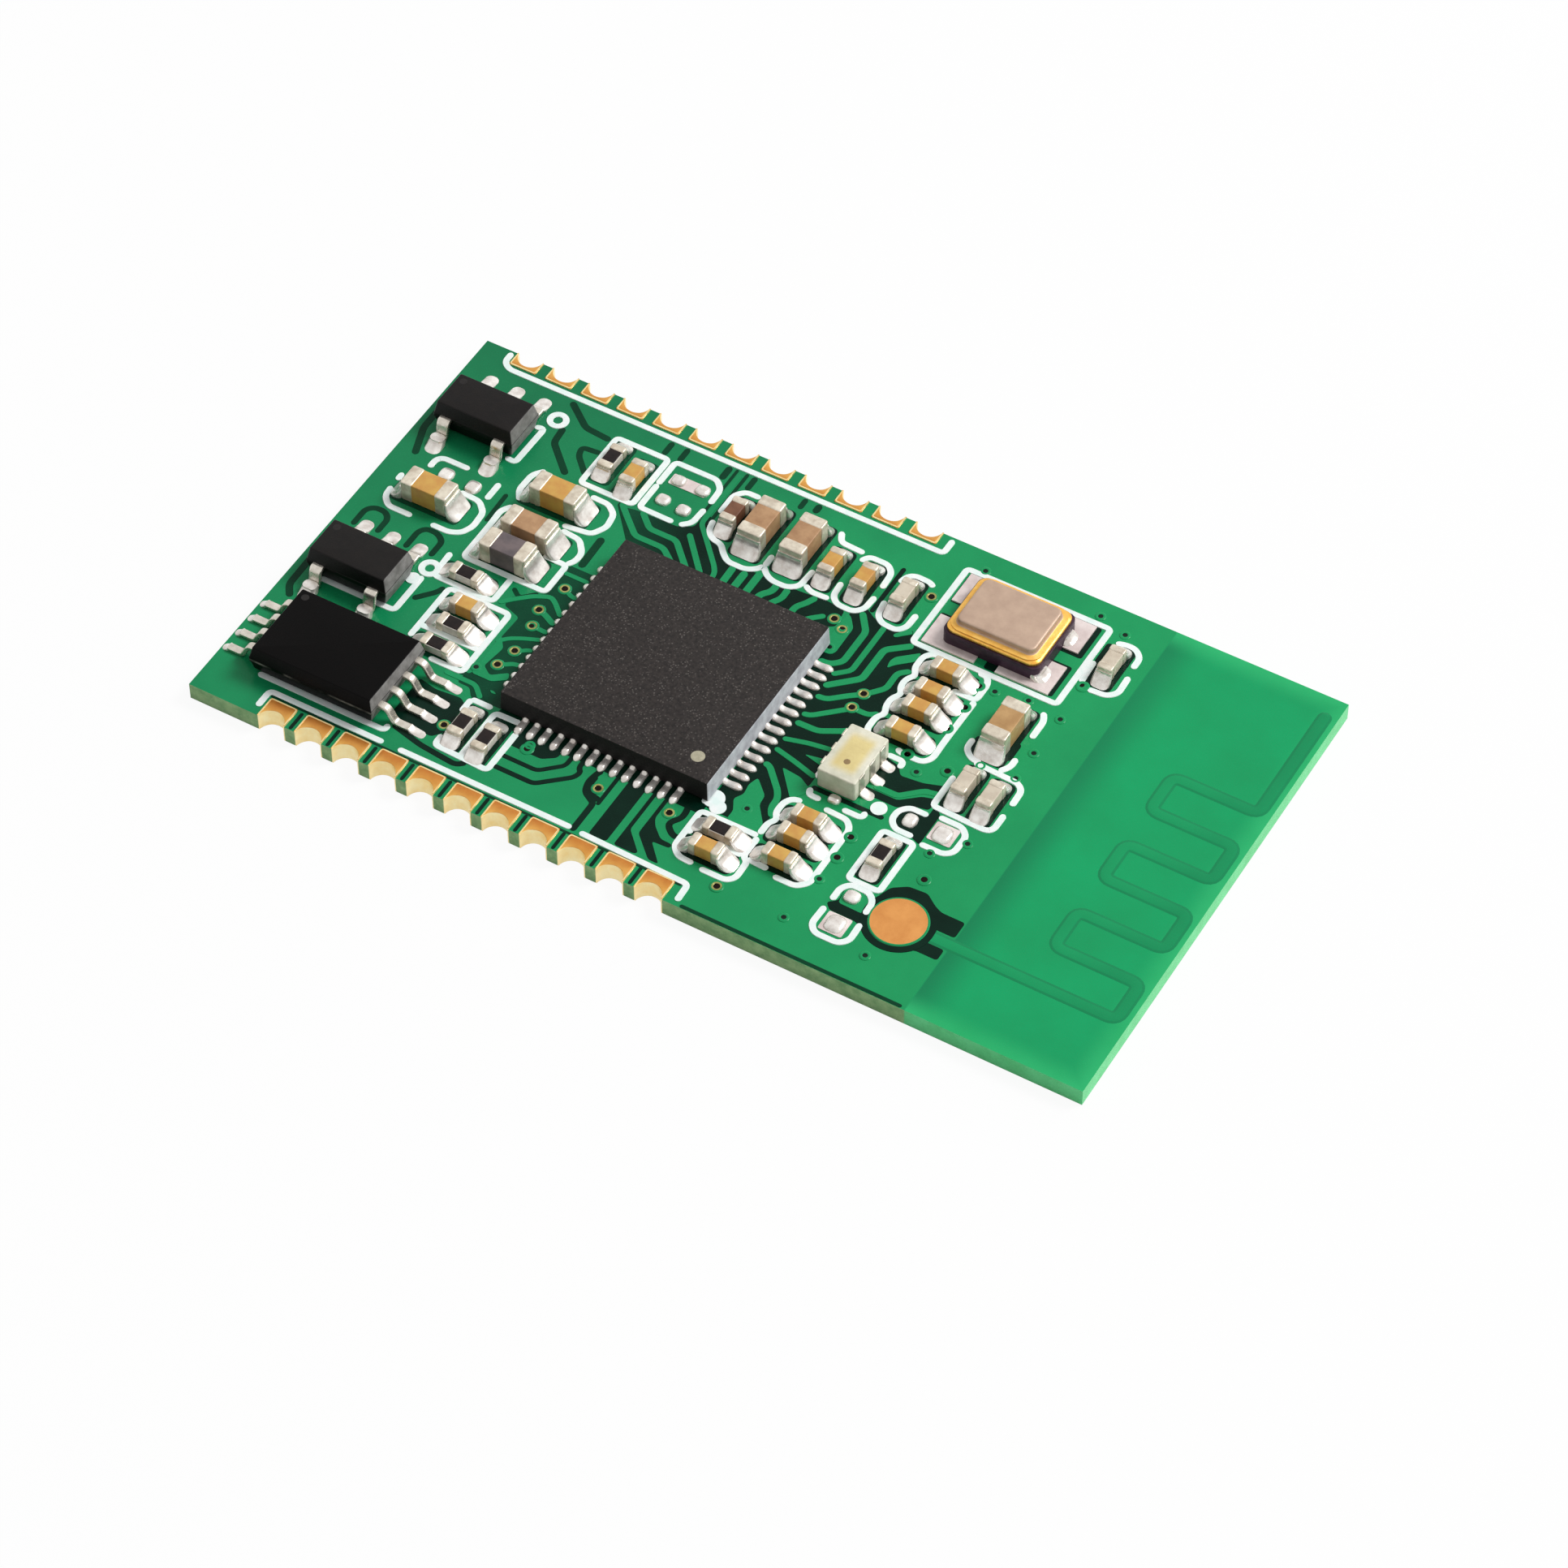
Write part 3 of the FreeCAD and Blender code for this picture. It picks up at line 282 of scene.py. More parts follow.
# Copper under the mask: where it is etched away, the mask lies on bare laminate and looks nearly black, and
# the tracks cross those places in the board's own green. Round the lands of the chip parts, under the
# chips' leads and terminals and round the crystal's lands, the same near-black also stands for the shade
# the parts cast: painted shade. Places are on a layout grid, counted from near the board's south-west
# corner.
grid = 0.84
grid_corner = (-14.7, -7.9)


def on_board(points):
    """Millimetres in the board's frame from places on the layout grid."""
    return np.array(points, float) * grid + grid_corner


def skin(rings, closed=False):
    """A closed skin over a stack of rings (rows, points, 3): quads join each ring to the next, and
    either the last ring joins the first or a fan of triangles to the ring's middle closes each end."""
    rows, points = rings.shape[:2]
    index = np.arange(rows * points).reshape(rows, points)
    ahead = np.roll(index, -1, axis=1)
    if closed:
        above, above_ahead = np.roll(index, -1, axis=0), np.roll(ahead, -1, axis=0)
        quads = np.stack([index, ahead, above_ahead, above], -1).reshape(-1, 4)
        return rings.reshape(-1, 3), [quads]
    quads = np.stack([index[:-1], ahead[:-1], ahead[1:], index[1:]], -1).reshape(-1, 4)
    middles = np.stack([rings[0].mean(0), rings[-1].mean(0)])
    first = np.stack([ahead[0], index[0], np.full(points, rows * points)], -1)
    last = np.stack([index[-1], ahead[-1], np.full(points, rows * points + 1)], -1)
    return np.concatenate([rings.reshape(-1, 3), middles]), [quads, first, last]


def piece(name, skins, materials, stands_for=(), sharp=40.0):
    """One object from skins: (skin, number of its material) pairs, in millimetres. It rides on the part's
    one body and stands for the named CAD nodes, which it hides."""
    points, faces, numbers, start = [], [], [], 0
    for (vertices, groups), number in skins:
        points.append(vertices)
        for group in groups:
            faces += (group + start).tolist()
            numbers += [number] * len(group)
        start += len(vertices)
    mesh = bpy.data.meshes.new(name)
    mesh.from_pydata(np.concatenate(points) * 0.001, [], faces)
    for material in materials:
        mesh.materials.append(material)
    mesh.polygons.foreach_set("material_index", numbers)
    mesh.shade_smooth()
    mesh.set_sharp_from_angle(angle=math.radians(sharp))
    made = bpy.data.objects.new(name, mesh)
    bpy.context.scene.collection.objects.link(made)
    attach(made, "root")
    if stands_for:
        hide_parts(*stands_for)


def eased(path, radius, closed):
    """A path whose corners are rounded: each is a quadratic curve between two points at most a
    radius away along its sides, with the corner as its pull."""
    before, after = np.roll(path, 1, axis=0), np.roll(path, -1, axis=0)
    reach_back = np.linalg.norm(before - path, axis=1, keepdims=True)
    reach_on = np.linalg.norm(after - path, axis=1, keepdims=True)
    start = path + (before - path) * np.minimum(0.48, radius / reach_back)
    end = path + (after - path) * np.minimum(0.48, radius / reach_on)
    t = np.linspace(0, 1, 6)[None, :, None]
    curve = (1 - t) ** 2 * start[:, None] + 2 * t * (1 - t) * path[:, None] + t ** 2 * end[:, None]
    if closed:
        return curve.reshape(-1, 2)
    return np.concatenate([path[:1], curve[1:-1].reshape(-1, 2), path[-1:]])


def ribbon(places, width, low, high, radius, closed=False, slope=0.14):
    """A flat line in millimetres: a low section with sloping sides, carried along an eased path.
    Open ends are round: near them the width is the chord of a circle as wide as the line."""
    path = eased(places, radius, closed)
    half = width / 2
    if closed:
        along = np.roll(path, -1, axis=0) - np.roll(path, 1, axis=0)
        chord = np.full(len(path), half)
    else:
        run = np.concatenate([[0], np.cumsum(np.linalg.norm(np.diff(path, axis=0), axis=1))])
        end = run[-1]
        cap = half * (1 - np.cos(np.linspace(0, math.pi / 2, 6)))
        stations = np.unique(np.concatenate([cap, run[(run > half) & (run < end - half)], end - cap]))
        path = np.stack([np.interp(stations, run, path[:, 0]), np.interp(stations, run, path[:, 1])], 1)
        nearest = np.minimum(np.minimum(stations, end - stations), half)
        chord = np.sqrt(np.maximum(half ** 2 - (half - nearest) ** 2, (0.02 * half) ** 2))
        along = np.gradient(path, axis=0)
    along = along / np.maximum(np.linalg.norm(along, axis=1, keepdims=True), 1e-9)
    left = np.stack([-along[:, 1], along[:, 0]], 1)
    across = np.array([1.0, 1.0 - slope, slope - 1.0, -1.0])
    level = np.array([low, high, high, low])
    spots = path[:, None] + left[:, None] * (chord[:, None] * across)[:, :, None]
    heights = np.broadcast_to(level, spots.shape[:2])
    return skin(np.concatenate([spots, heights[:, :, None]], 2), closed)


def patch(places, low, high, radius=0.1):
    """A flat area in millimetres with eased corners: one face above, one below and a wall round."""
    outline = eased(places, radius, True)
    ahead = np.roll(outline, -1, axis=0)
    if np.sum(outline[:, 0] * ahead[:, 1] - ahead[:, 0] * outline[:, 1]) < 0:
        outline = outline[::-1]
    count = len(outline)
    index = np.arange(count)
    on = np.roll(index, -1)
    points = np.concatenate([np.column_stack([outline, np.full(count, level)]) for level in (low, high)])
    walls = np.stack([index, on, on + count, index + count], -1)
    return points, [walls, (index + count)[None], index[::-1][None]]


bare_and_shaded_areas = [
    # North of the bluetooth chip, and its north-east corner
    [(8.42, 14.4), (9.05, 14.55), (10.75, 14.6), (11.25, 14.9), (11.3, 15.6), (11.6, 15.6),
     (12.0, 14.7), (12.5, 14.5), (12.95, 14.0), (14.35, 14.1), (15.95, 14.1), (17.1, 14.2),
     (17.85, 14.1), (17.95, 13.3), (17.3, 12.9), (9.75, 12.9), (9.5, 13.2)],
    [(18.05, 14.1), (18.45, 14.6), (18.95, 14.3), (20.0, 14.15), (20.4, 14.5), (20.55, 14.0),
     (21.35, 14.0), (21.2, 12.9), (21.35, 12.6), (21.2, 11.9), (21.35, 11.6), (21.15, 10.9),
     (21.35, 10.6), (21.15, 10.0), (21.3, 9.6), (20.8, 9.4), (20.8, 6.55), (20.5, 5.8), (20.35, 5.2),
     (20.4, 3.95), (18.25, 3.95), (18.1, 12.1), (18.4, 12.1)],
    # West of the bluetooth chip
    [(8.45, 11.1), (9.5, 11.1), (9.95, 5.3), (9.95, 4.2), (9.3, 4.2), (8.75, 4.12), (8.45, 4.5),
     (7.95, 4.5), (7.97, 4.95), (8.15, 5.1), (8.15, 7.0), (8.2, 8.1), (7.45, 8.35), (7.45, 8.8),
     (8.1, 9.3), (8.45, 9.55)],
    # South of it: the band under the terminals, partly etched copper and partly painted shade
    [(9.9, 4.25), (18.3, 4.25), (18.2, 3.6), (9.9, 3.55)],
    [(11.05, 3.65), (11.05, 2.98), (12.3, 2.98), (12.75, 3.3), (12.78, 3.75)],
    [(15.42, 3.75), (16.12, 3.75), (16.12, 0.98), (15.42, 0.98)],
    [(16.4, 3.7), (16.55, 3.7), (16.55, 1.85), (17.3, 1.1), (17.2, 1.0), (16.4, 1.0)],
    [(16.87, 3.7), (17.02, 3.7), (17.02, 2.7), (17.2, 2.4), (17.65, 2.0), (18.12, 1.98), (18.12, 1.8),
     (17.45, 1.76), (18.15, 1.02), (17.75, 1.02), (16.87, 1.85)],
    # Under the memory chip's leads, partly etched copper and partly painted shade, and east of the balun
    [(6.75, 4.0), (7.5, 3.85), (8.45, 3.95), (8.75, 3.75), (8.78, 2.3), (8.5, 1.95), (7.2, 2.0),
     (6.75, 2.2)],
    [(22.4, 9.0), (23.0, 8.85), (23.25, 8.5), (24.1, 8.6), (24.8, 8.85), (24.8, 8.5), (24.3, 8.45),
     (23.6, 7.8), (22.4, 7.8)],
    [(22.4, 7.5), (23.7, 7.5), (24.35, 8.05), (24.85, 8.2), (24.85, 7.65), (24.2, 7.5), (23.85, 7.2),
     (22.4, 7.2)],
    [(24.95, 7.9), (25.3, 7.65), (25.3, 6.15), (24.95, 6.3), (24.2, 6.4), (24.0, 6.7), (24.0, 7.1),
     (24.2, 7.35), (24.95, 7.4)],
    [(24.1, 3.3), (24.15, 2.7), (23.85, 2.45), (24.1, 2.2), (25.1, 2.2), (25.5, 2.0), (25.45, 2.75),
     (25.1, 2.6), (24.2, 2.62)],
    # Round the test pad's track
    [(25.2, 3.5), (25.4, 4.05), (25.9, 4.4), (26.6, 4.45), (27.1, 4.1), (27.4, 3.97), (28.3, 3.97),
     (28.3, 3.24), (27.1, 3.24), (26.8, 3.6), (26.2, 3.8), (25.6, 3.6)],
    [(26.9, 2.62), (28.25, 2.62), (28.25, 2.12), (27.4, 2.12), (27.0, 1.8), (26.5, 1.9)],
    # Round the crystal's lands, partly etched copper and partly painted shade
    [(20.8, 17.85), (22.4, 17.85), (22.4, 16.35), (20.8, 16.35)],
    [(20.8, 15.75), (22.9, 15.75), (22.9, 14.2), (20.8, 14.2)],
    [(24.2, 17.85), (26.05, 17.85), (26.05, 16.25), (24.2, 16.25)],
    [(23.3, 15.75), (26.0, 15.75), (26.0, 14.2), (23.3, 14.2)],
]
bare_lines = [
    # Round the memory chip
    ([(7.1, 1.75), (8.4, 1.45), (9.9, 1.3), (10.2, 1.55)], 0.25),
    ([(7.3, 4.95), (8.55, 4.95), (9.3, 4.3)], 0.2),
    # Between the pads' frame and the bluetooth chip's south side
    ([(11.05, 2.47), (12.45, 2.47), (13.18, 3.15), (13.18, 3.7)], 0.2),
    ([(11.05, 1.92), (12.65, 1.92), (13.7, 2.85), (13.78, 3.15), (13.62, 3.3), (13.62, 3.7)], 0.22),
    ([(14.4, 3.6), (14.3, 3.4), (14.22, 2.95), (14.35, 2.5), (14.7, 2.3), (14.87, 2.2),
      (14.87, 0.8)], 0.26),
    ([(17.72, 3.75), (17.8, 3.4), (17.78, 3.1), (17.55, 2.8), (17.6, 2.6), (17.9, 2.35),
      (18.15, 2.33)], 0.26),
    ([(18.68, 14.5), (18.68, 16.9)], 0.2),
    # Along the south edge, round the crystal, the balun and the test pad
    ([(20.9, 6.56), (23.7, 6.56)], 0.22),
    ([(26.62, 17.4), (26.62, 15.3)], 0.3),
    ([(27.45, 17.4), (27.5, 16.6)], 0.3),
    ([(24.75, 11.4), (24.75, 10.8), (25.3, 10.5)], 0.24),
    ([(26.05, 11.8), (26.05, 10.9)], 0.3),
    # Either side of the plated hole south of the bluetooth chip
    ([(15.02, 3.75), (15.02, 2.2)], 0.17),
    ([(14.33, 3.3), (14.3, 2.9), (14.45, 2.55), (14.8, 2.42), (15.0, 2.42)], 0.28),
]
faint_lines = [
    # Down the west side, round the regulators
    ([(4.3, 17.95), (5.4, 17.1), (6.5, 17.0)], 0.3),
    ([(4.72, 16.7), (4.8, 15.9), (6.0, 14.75)], 0.3),
    ([(6.55, 16.28), (5.8, 16.2), (5.9, 15.8), (6.6, 15.1)], 0.26),
    ([(8.75, 12.8), (8.8, 11.2)], 0.34),
    ([(10.9, 18.05), (10.9, 17.35)], 0.3),
    ([(11.95, 18.05), (11.95, 17.35)], 0.26),
    ([(14.03, 18.05), (14.03, 17.5)], 0.24),
    ([(14.6, 18.05), (14.6, 17.6)], 0.3),
    ([(11.2, 18.05), (11.2, 15.2)], 0.14),
    ([(11.62, 18.05), (11.62, 15.4)], 0.16),
    ([(8.4, 14.6), (9.7, 13.1)], 0.3),
    ([(8.5, 18.05), (8.5, 17.35)], 0.26),
    ([(9.15, 18.05), (9.15, 17.35)], 0.26),
    ([(0.75, 8.9), (0.75, 9.75), (1.0, 10.0), (1.45, 10.0), (1.7, 9.75), (1.7, 9.0)], 0.26),
    ([(2.95, 8.9), (2.95, 9.8), (3.15, 10.05), (3.6, 10.05), (3.95, 9.8), (3.95, 9.0)], 0.26),
    ([(0.35, 7.6), (0.4, 5.4), (0.75, 4.9)], 0.3),
    ([(0.35, 15.2), (0.35, 14.2), (0.8, 12.9)], 0.3),
    ([(4.7, 12.9), (4.75, 11.4)], 0.2),
    ([(4.5, 7.0), (5.1, 7.7), (5.2, 8.0)], 0.26),
    ([(7.3, 9.2), (7.7, 8.9), (8.2, 9.4)], 0.2),
    # Under the pads' frame, and along the south edge
    ([(2.75, 0.74), (19.3, 0.62)], 0.11),
    ([(19.7, -0.15), (28.2, -0.15)], 0.16),
]
etch_finish = mask_finish("mask_on_laminate", (12, 44, 33), (8, 36, 27), gloss=0.09)
tree = etch_finish.node_tree
x, y, _ = place_axes(tree)
paler = maths(tree, "MULTIPLY", ramp(tree, x, -4.8, -7.4), ramp(tree, y, -4.9, -4.2))
part_of_colour(etch_finish, paler, (17, 76, 52), (14, 66, 46), patches=0.8)
faint_finish = mask_finish("mask_over_gap", (13, 68, 45), (10, 58, 39), gloss=0.09)
# Every shape stands on the same foot inside the board, and those that cross differ in height by a
# step, so that no two faces lie in one plane
foot = top - 0.02
step = 0.0001


def rectangle(low, high):
    """The four corners between two opposite ones."""
    return np.array([(low[0], low[1]), (high[0], low[1]), (high[0], high[1]), (low[0], high[1])])


def board_lines(lines, number, height, steps, repeat=99):
    """Ribbons on the board from (path, width) pairs on the layout grid. Each stands some steps
    higher than the one before it, and after a number of them the heights begin again."""
    return [
        (ribbon(on_board(path), width * grid, foot, top + height + n % repeat * steps * step, 0.15), number)
        for n, (path, width) in enumerate(lines)
    ]


gaps = [(patch(on_board(area), foot, top + 0.001 + n * 3 * step), 0) for n, area in enumerate(bare_and_shaded_areas)]
gaps += board_lines(bare_lines, 0, 0.008, 3, 11)
gaps += board_lines(faint_lines, 1, 0.0045, 2)
# The copper is etched back round the lands of every chip part, and these dark halos also stand for the
# shade under and beside the parts: painted shade
land_run = 0.42
land_side = 0.14
part_names = ("capacitor_", "inductor_", "resistor_")
for n, node in enumerate(sorted(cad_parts)):
    if node.startswith(part_names):
        low, high = box_of(node)
        along = int((high - low)[1] > (high - low)[0])
        margin = np.array([land_side, land_run] if along else [land_run, land_side])
        spots = rectangle(low[:2] - margin, high[:2] + margin)
        gaps.append((patch(spots, foot, top + 0.0115 + n % 5 * 2 * step, 0.2), 0))
piece("etched_gaps_and_painted_shade", gaps, [etch_finish, faint_finish])

green_areas = [
    [(18.0, 14.05), (18.2, 13.95), (18.53, 13.52), (18.55, 12.25), (18.45, 12.08), (18.2, 12.05),
     (18.0, 12.1)],
    [(19.6, 6.8), (20.37, 6.72), (20.85, 6.45), (20.9, 6.2), (20.6, 5.8), (20.5, 5.75)],
    [(19.13, 5.97), (19.73, 5.4), (19.77, 4.97), (20.3, 4.3), (20.38, 3.87), (19.12, 3.87),
     (19.13, 4.3), (18.87, 4.77), (19.07, 5.1), (19.0, 5.57)],
    [(21.15, 13.72), (20.45, 13.1), (20.37, 12.85), (20.44, 12.5), (20.6, 12.75), (21.15, 13.25)],
    [(20.75, 7.85), (19.95, 7.68), (20.75, 7.5)],
    [(8.12, 7.1), (8.5, 6.6), (8.35, 5.6), (8.75, 5.32), (9.3, 5.75), (9.42, 5.45), (8.95, 5.1),
     (8.15, 5.1)],
    [(23.0, 15.75), (23.25, 15.75), (23.25, 14.3), (23.0, 14.3)],
]
tracks = [
    # Along the bluetooth chip's north side, from west to east
    ([(8.45, 14.6), (8.75, 14.3), (9.68, 13.46), (10.85, 13.46), (11.5, 12.95)], 0.27),
    ([(9.3, 14.6), (9.95, 14.0), (11.05, 14.0), (12.1, 12.95)], 0.27),
    ([(11.28, 14.52), (12.6, 13.05)], 0.25),
    ([(11.4, 17.9), (11.4, 15.15), (12.0, 14.52), (12.85, 13.6), (13.04, 13.3), (13.04, 12.95)], 0.22),
    ([(13.45, 13.95), (13.48, 12.95)], 0.3),
    ([(13.94, 13.95), (13.94, 12.95)], 0.32),
    ([(14.42, 14.2), (14.42, 12.95)], 0.32),
    ([(15.2, 14.0), (15.2, 13.6), (14.92, 13.28), (14.88, 12.95)], 0.3),
    ([(15.64, 14.0), (15.66, 13.48), (15.45, 13.15), (15.4, 12.95)], 0.28),
    ([(16.7, 14.15), (16.5, 13.7), (16.27, 13.4), (16.27, 12.95)], 0.28),
    ([(17.4, 13.55), (16.95, 13.15), (16.8, 12.95)], 0.25),
    # Round its north-east corner
    ([(18.42, 14.35), (18.99, 13.6), (18.99, 12.0), (18.64, 11.68), (18.2, 11.65)], 0.28),
    ([(19.44, 14.15), (19.45, 11.79), (18.93, 11.3)], 0.24),
    ([(20.4, 14.4), (19.97, 14.0), (19.95, 13.9)], 0.2),
    ([(20.75, 13.87), (19.95, 13.2), (19.95, 11.65), (18.95, 10.7)], 0.3),
    ([(21.25, 12.8), (20.88, 12.48), (20.89, 11.68), (20.45, 11.15)], 0.26),
    ([(20.35, 11.05), (19.95, 10.75), (19.35, 10.22), (18.95, 10.18)], 0.26),
    ([(21.25, 10.56), (20.96, 10.32), (20.36, 10.32), (19.83, 9.83), (19.25, 9.3),
      (18.95, 9.24)], 0.25),
    # East to the balun
    ([(21.0, 9.68), (20.67, 9.3), (19.83, 8.82), (18.95, 8.8)], 0.28),
    ([(18.95, 7.93), (19.83, 8.18), (20.8, 8.34)], 0.23),
    ([(18.95, 7.43), (19.83, 7.23), (20.8, 6.96)], 0.23),
    ([(18.95, 6.67), (19.2, 6.63), (20.0, 5.8), (20.17, 5.47), (20.17, 5.07), (20.4, 4.7)], 0.27),
    ([(22.7, 7.65), (23.6, 7.65), (24.3, 8.3), (24.85, 8.42)], 0.26),
    # West of the bluetooth chip
    ([(8.45, 10.7), (9.45, 10.7)], 0.2),
    ([(9.0, 10.0), (9.25, 9.85), (9.5, 9.85)], 0.2),
    ([(7.2, 8.35), (7.57, 8.73), (8.1, 9.2), (8.65, 9.48), (8.9, 9.35), (9.45, 8.85)], 0.22),
    ([(8.64, 8.75), (8.94, 8.66), (9.45, 8.4)], 0.26),
    ([(8.83, 7.99), (9.45, 7.97)], 0.22),
    ([(9.45, 7.6), (8.83, 7.33), (8.42, 7.1), (8.1, 6.75)], 0.2),
    ([(8.92, 6.66), (9.27, 6.96), (9.45, 7.0)], 0.2),
    ([(8.75, 5.86), (9.2, 6.18), (9.45, 6.2)], 0.22),
    ([(7.3, 4.7), (8.57, 4.7), (9.05, 4.25)], 0.22),
    ([(9.26, 4.66), (9.28, 4.76)], 0.5),
]
lines = [
    (patch(on_board(area), foot, top + 0.0128 + n * 2 * step), 0) for n, area in enumerate(green_areas)
]
lines += board_lines(tracks, 0, 0.0145, 2, 7)
track_finish = mask_finish("mask_on_track", (34, 150, 96), (31, 142, 90))
# The tracks get the same painted light and shade as the board's mask.
paint_light_on_mask(track_finish)
piece("masked_tracks", lines, [track_finish])


# Printed frames: white epoxy ink, screened over the mask round the parts and the pad rows and
# cured. Its lines stand a little proud of the board and have round ends.
frames = [
    [(2.6, 0.1), (2.6, 0.9), (7.25, 0.9)],
    [(7.85, 0.9), (14.8, 0.9)],
    [(15.15, 0.86), (19.47, 0.76), (19.5, -0.05)],
    [(1.12, 18.95), (1.12, 18.45), (1.45, 18.2), (19.5, 18.2), (19.5, 18.92)],
    [(1.8, 1.38), (6.97, 1.38), (6.97, 1.68)],
    [(1.2, 6.2), (4.25, 6.2), (4.25, 8.05)],
    [(3.7, 14.4), (4.12, 14.35), (4.15, 16.3), (3.8, 16.2)],
    [(5.37, 5.45), (5.37, 8.05), (7.85, 8.05), (7.85, 4.95), (6.5, 4.95)],
    [(5.37, 6.1), (7.85, 6.1)],
    [(4.5, 9.5), (4.55, 8.3), (7.0, 8.28), (7.0, 9.5)],
    [(5.3, 14.55), (4.97, 14.15), (4.95, 13.3), (5.25, 12.85)],
    [(7.35, 14.3), (8.1, 14.28), (8.5, 13.95), (8.6, 13.3), (8.3, 12.75), (7.2, 12.6)],
    [(7.3, 12.38), (8.1, 12.3), (8.5, 11.8), (8.5, 11.35), (8.3, 11.05)],
    [(7.4, 11.02), (8.35, 11.02), (8.35, 9.58), (4.97, 9.58), (4.97, 11.35), (4.93, 12.1), (5.2, 12.5)],
    [(0.95, 11.15), (1.0, 10.65), (1.35, 10.3), (2.35, 10.3)],
    [(0.95, 11.5), (0.95, 11.9)],
    [(3.2, 12.15), (4.05, 12.1), (4.45, 11.7), (4.5, 10.95), (4.3, 10.5), (3.9, 10.3), (3.15, 10.3)],
    [(1.6, 12.6), (1.6, 13.05), (1.8, 13.25), (2.9, 13.25)],
    [(4.2, 13.2), (4.2, 12.3)],
    [(9.08, 16.0), (9.08, 14.72), (10.5, 14.7)],
    [(9.08, 16.0), (9.08, 17.25), (10.8, 17.25), (11.15, 16.9), (11.18, 16.1)],
    [(10.75, 14.68), (11.1, 15.0), (11.15, 15.8)],
    [(12.6, 17.25), (12.0, 17.25), (11.7, 16.9), (11.7, 15.9)],
    [(11.7, 15.5), (11.8, 15.0), (12.1, 14.7), (12.5, 14.65), (12.85, 14.25), (13.15, 14.03),
     (13.85, 14.03), (14.2, 14.25), (14.35, 14.5), (14.6, 14.2), (14.95, 14.03), (15.55, 14.03),
     (15.9, 14.3), (15.97, 15.2)],
    [(14.37, 14.5), (14.37, 15.1)],
    [(15.9, 17.3), (16.12, 16.85), (17.1, 16.8)],
    [(16.05, 14.45), (16.4, 14.25), (17.1, 14.3)],
    [(17.1, 15.2), (17.15, 14.5), (17.45, 14.22), (18.1, 14.2), (18.4, 14.5), (18.45, 15.2)],
    [(17.15, 16.4), (17.35, 16.75), (18.1, 16.75), (18.4, 16.45), (18.45, 15.65)],
    [(18.85, 15.2), (18.95, 14.5), (19.25, 14.23), (19.85, 14.2), (20.1, 14.5), (20.12, 15.2)],
    [(18.85, 16.2), (18.95, 16.6), (19.2, 16.77), (19.8, 16.75), (20.0, 16.6)],
    [(26.75, 17.5), (27.1, 17.62), (27.5, 17.6), (27.8, 17.3), (27.8, 16.75)],
    [(27.87, 16.35), (27.9, 15.5), (27.6, 15.2), (26.9, 15.15)],
    [(26.5, 16.4), (26.55, 15.3)],
    [(22.0, 13.92), (21.5, 13.88), (21.27, 13.6), (21.27, 13.0), (21.48, 12.7), (21.27, 12.4),
     (21.27, 12.0), (21.48, 11.7), (21.27, 11.4), (21.27, 11.0), (21.43, 10.65), (21.22, 10.35),
     (21.22, 9.75), (21.45, 9.5)],
    [(23.3, 13.9), (23.65, 13.9), (23.82, 13.6), (23.82, 12.75), (22.9, 12.75)],
    [(23.82, 12.7), (23.8, 10.6), (23.82, 9.7), (23.6, 9.4), (22.8, 9.38), (22.55, 9.5)],
    [(22.4, 9.1), (23.05, 9.1), (23.05, 8.75)],
    [(20.9, 6.5), (20.97, 6.2), (21.45, 6.2)],
    [(22.3, 6.2), (23.05, 6.2), (23.05, 6.5)],
    [(24.95, 7.42), (24.25, 7.42), (23.95, 7.1), (23.95, 6.65), (24.25, 6.35), (24.95, 6.35)],
    [(25.3, 7.55), (26.2, 7.55), (26.5, 7.25), (26.48, 6.45), (26.2, 6.2), (25.3, 6.2)],
    [(23.95, 2.6), (23.95, 3.2), (24.2, 3.5), (24.9, 3.5), (25.2, 3.2), (25.22, 2.6)],
    [(23.9, 2.25), (23.87, 1.4), (24.15, 1.1), (25.05, 1.1), (25.33, 1.4), (25.3, 2.2)],
    [(20.95, 5.82), (20.6, 5.75), (20.42, 5.45), (20.42, 4.95), (20.62, 4.68), (20.42, 4.4),
     (20.42, 3.85)],
    [(20.62, 2.72), (21.45, 2.68)],
    [(21.75, 2.5), (22.6, 2.5), (22.95, 2.85), (22.95, 5.55), (22.68, 5.88), (21.75, 5.92)],
    [(19.15, 1.62), (18.55, 1.65), (18.2, 1.98), (18.2, 3.74), (20.42, 3.76)],
    [(19.45, 1.55), (20.45, 1.55), (20.7, 1.8), (20.68, 2.6), (20.45, 2.74), (20.45, 3.7)],
    [(18.22, 2.78), (18.45, 2.78)],
    [(19.35, 2.8), (20.4, 2.74)],
    [(24.85, 9.4), (24.85, 7.88), (26.95, 7.82), (27.15, 8.0), (27.15, 8.75)],
    [(27.17, 9.2), (27.15, 9.95), (26.9, 10.2), (25.15, 10.27)],
    [(24.6, 11.2), (24.6, 10.7), (24.95, 10.38), (25.35, 10.35)],
    [(26.1, 13.45), (26.3, 13.1), (26.3, 12.2)],
    [(26.3, 11.15), (26.3, 10.7), (26.05, 10.35)],
    [(8.8, 4.08), (9.65, 4.08)],
    [(8.8, 3.4), (8.8, 4.08)],
    [(8.8, 2.2), (8.8, 1.7), (10.97, 1.62), (10.97, 3.55)],
    [(9.85, 1.65), (9.85, 3.95), (10.85, 3.97)],
    [(18.0, 4.12), (18.3, 4.3)],
]
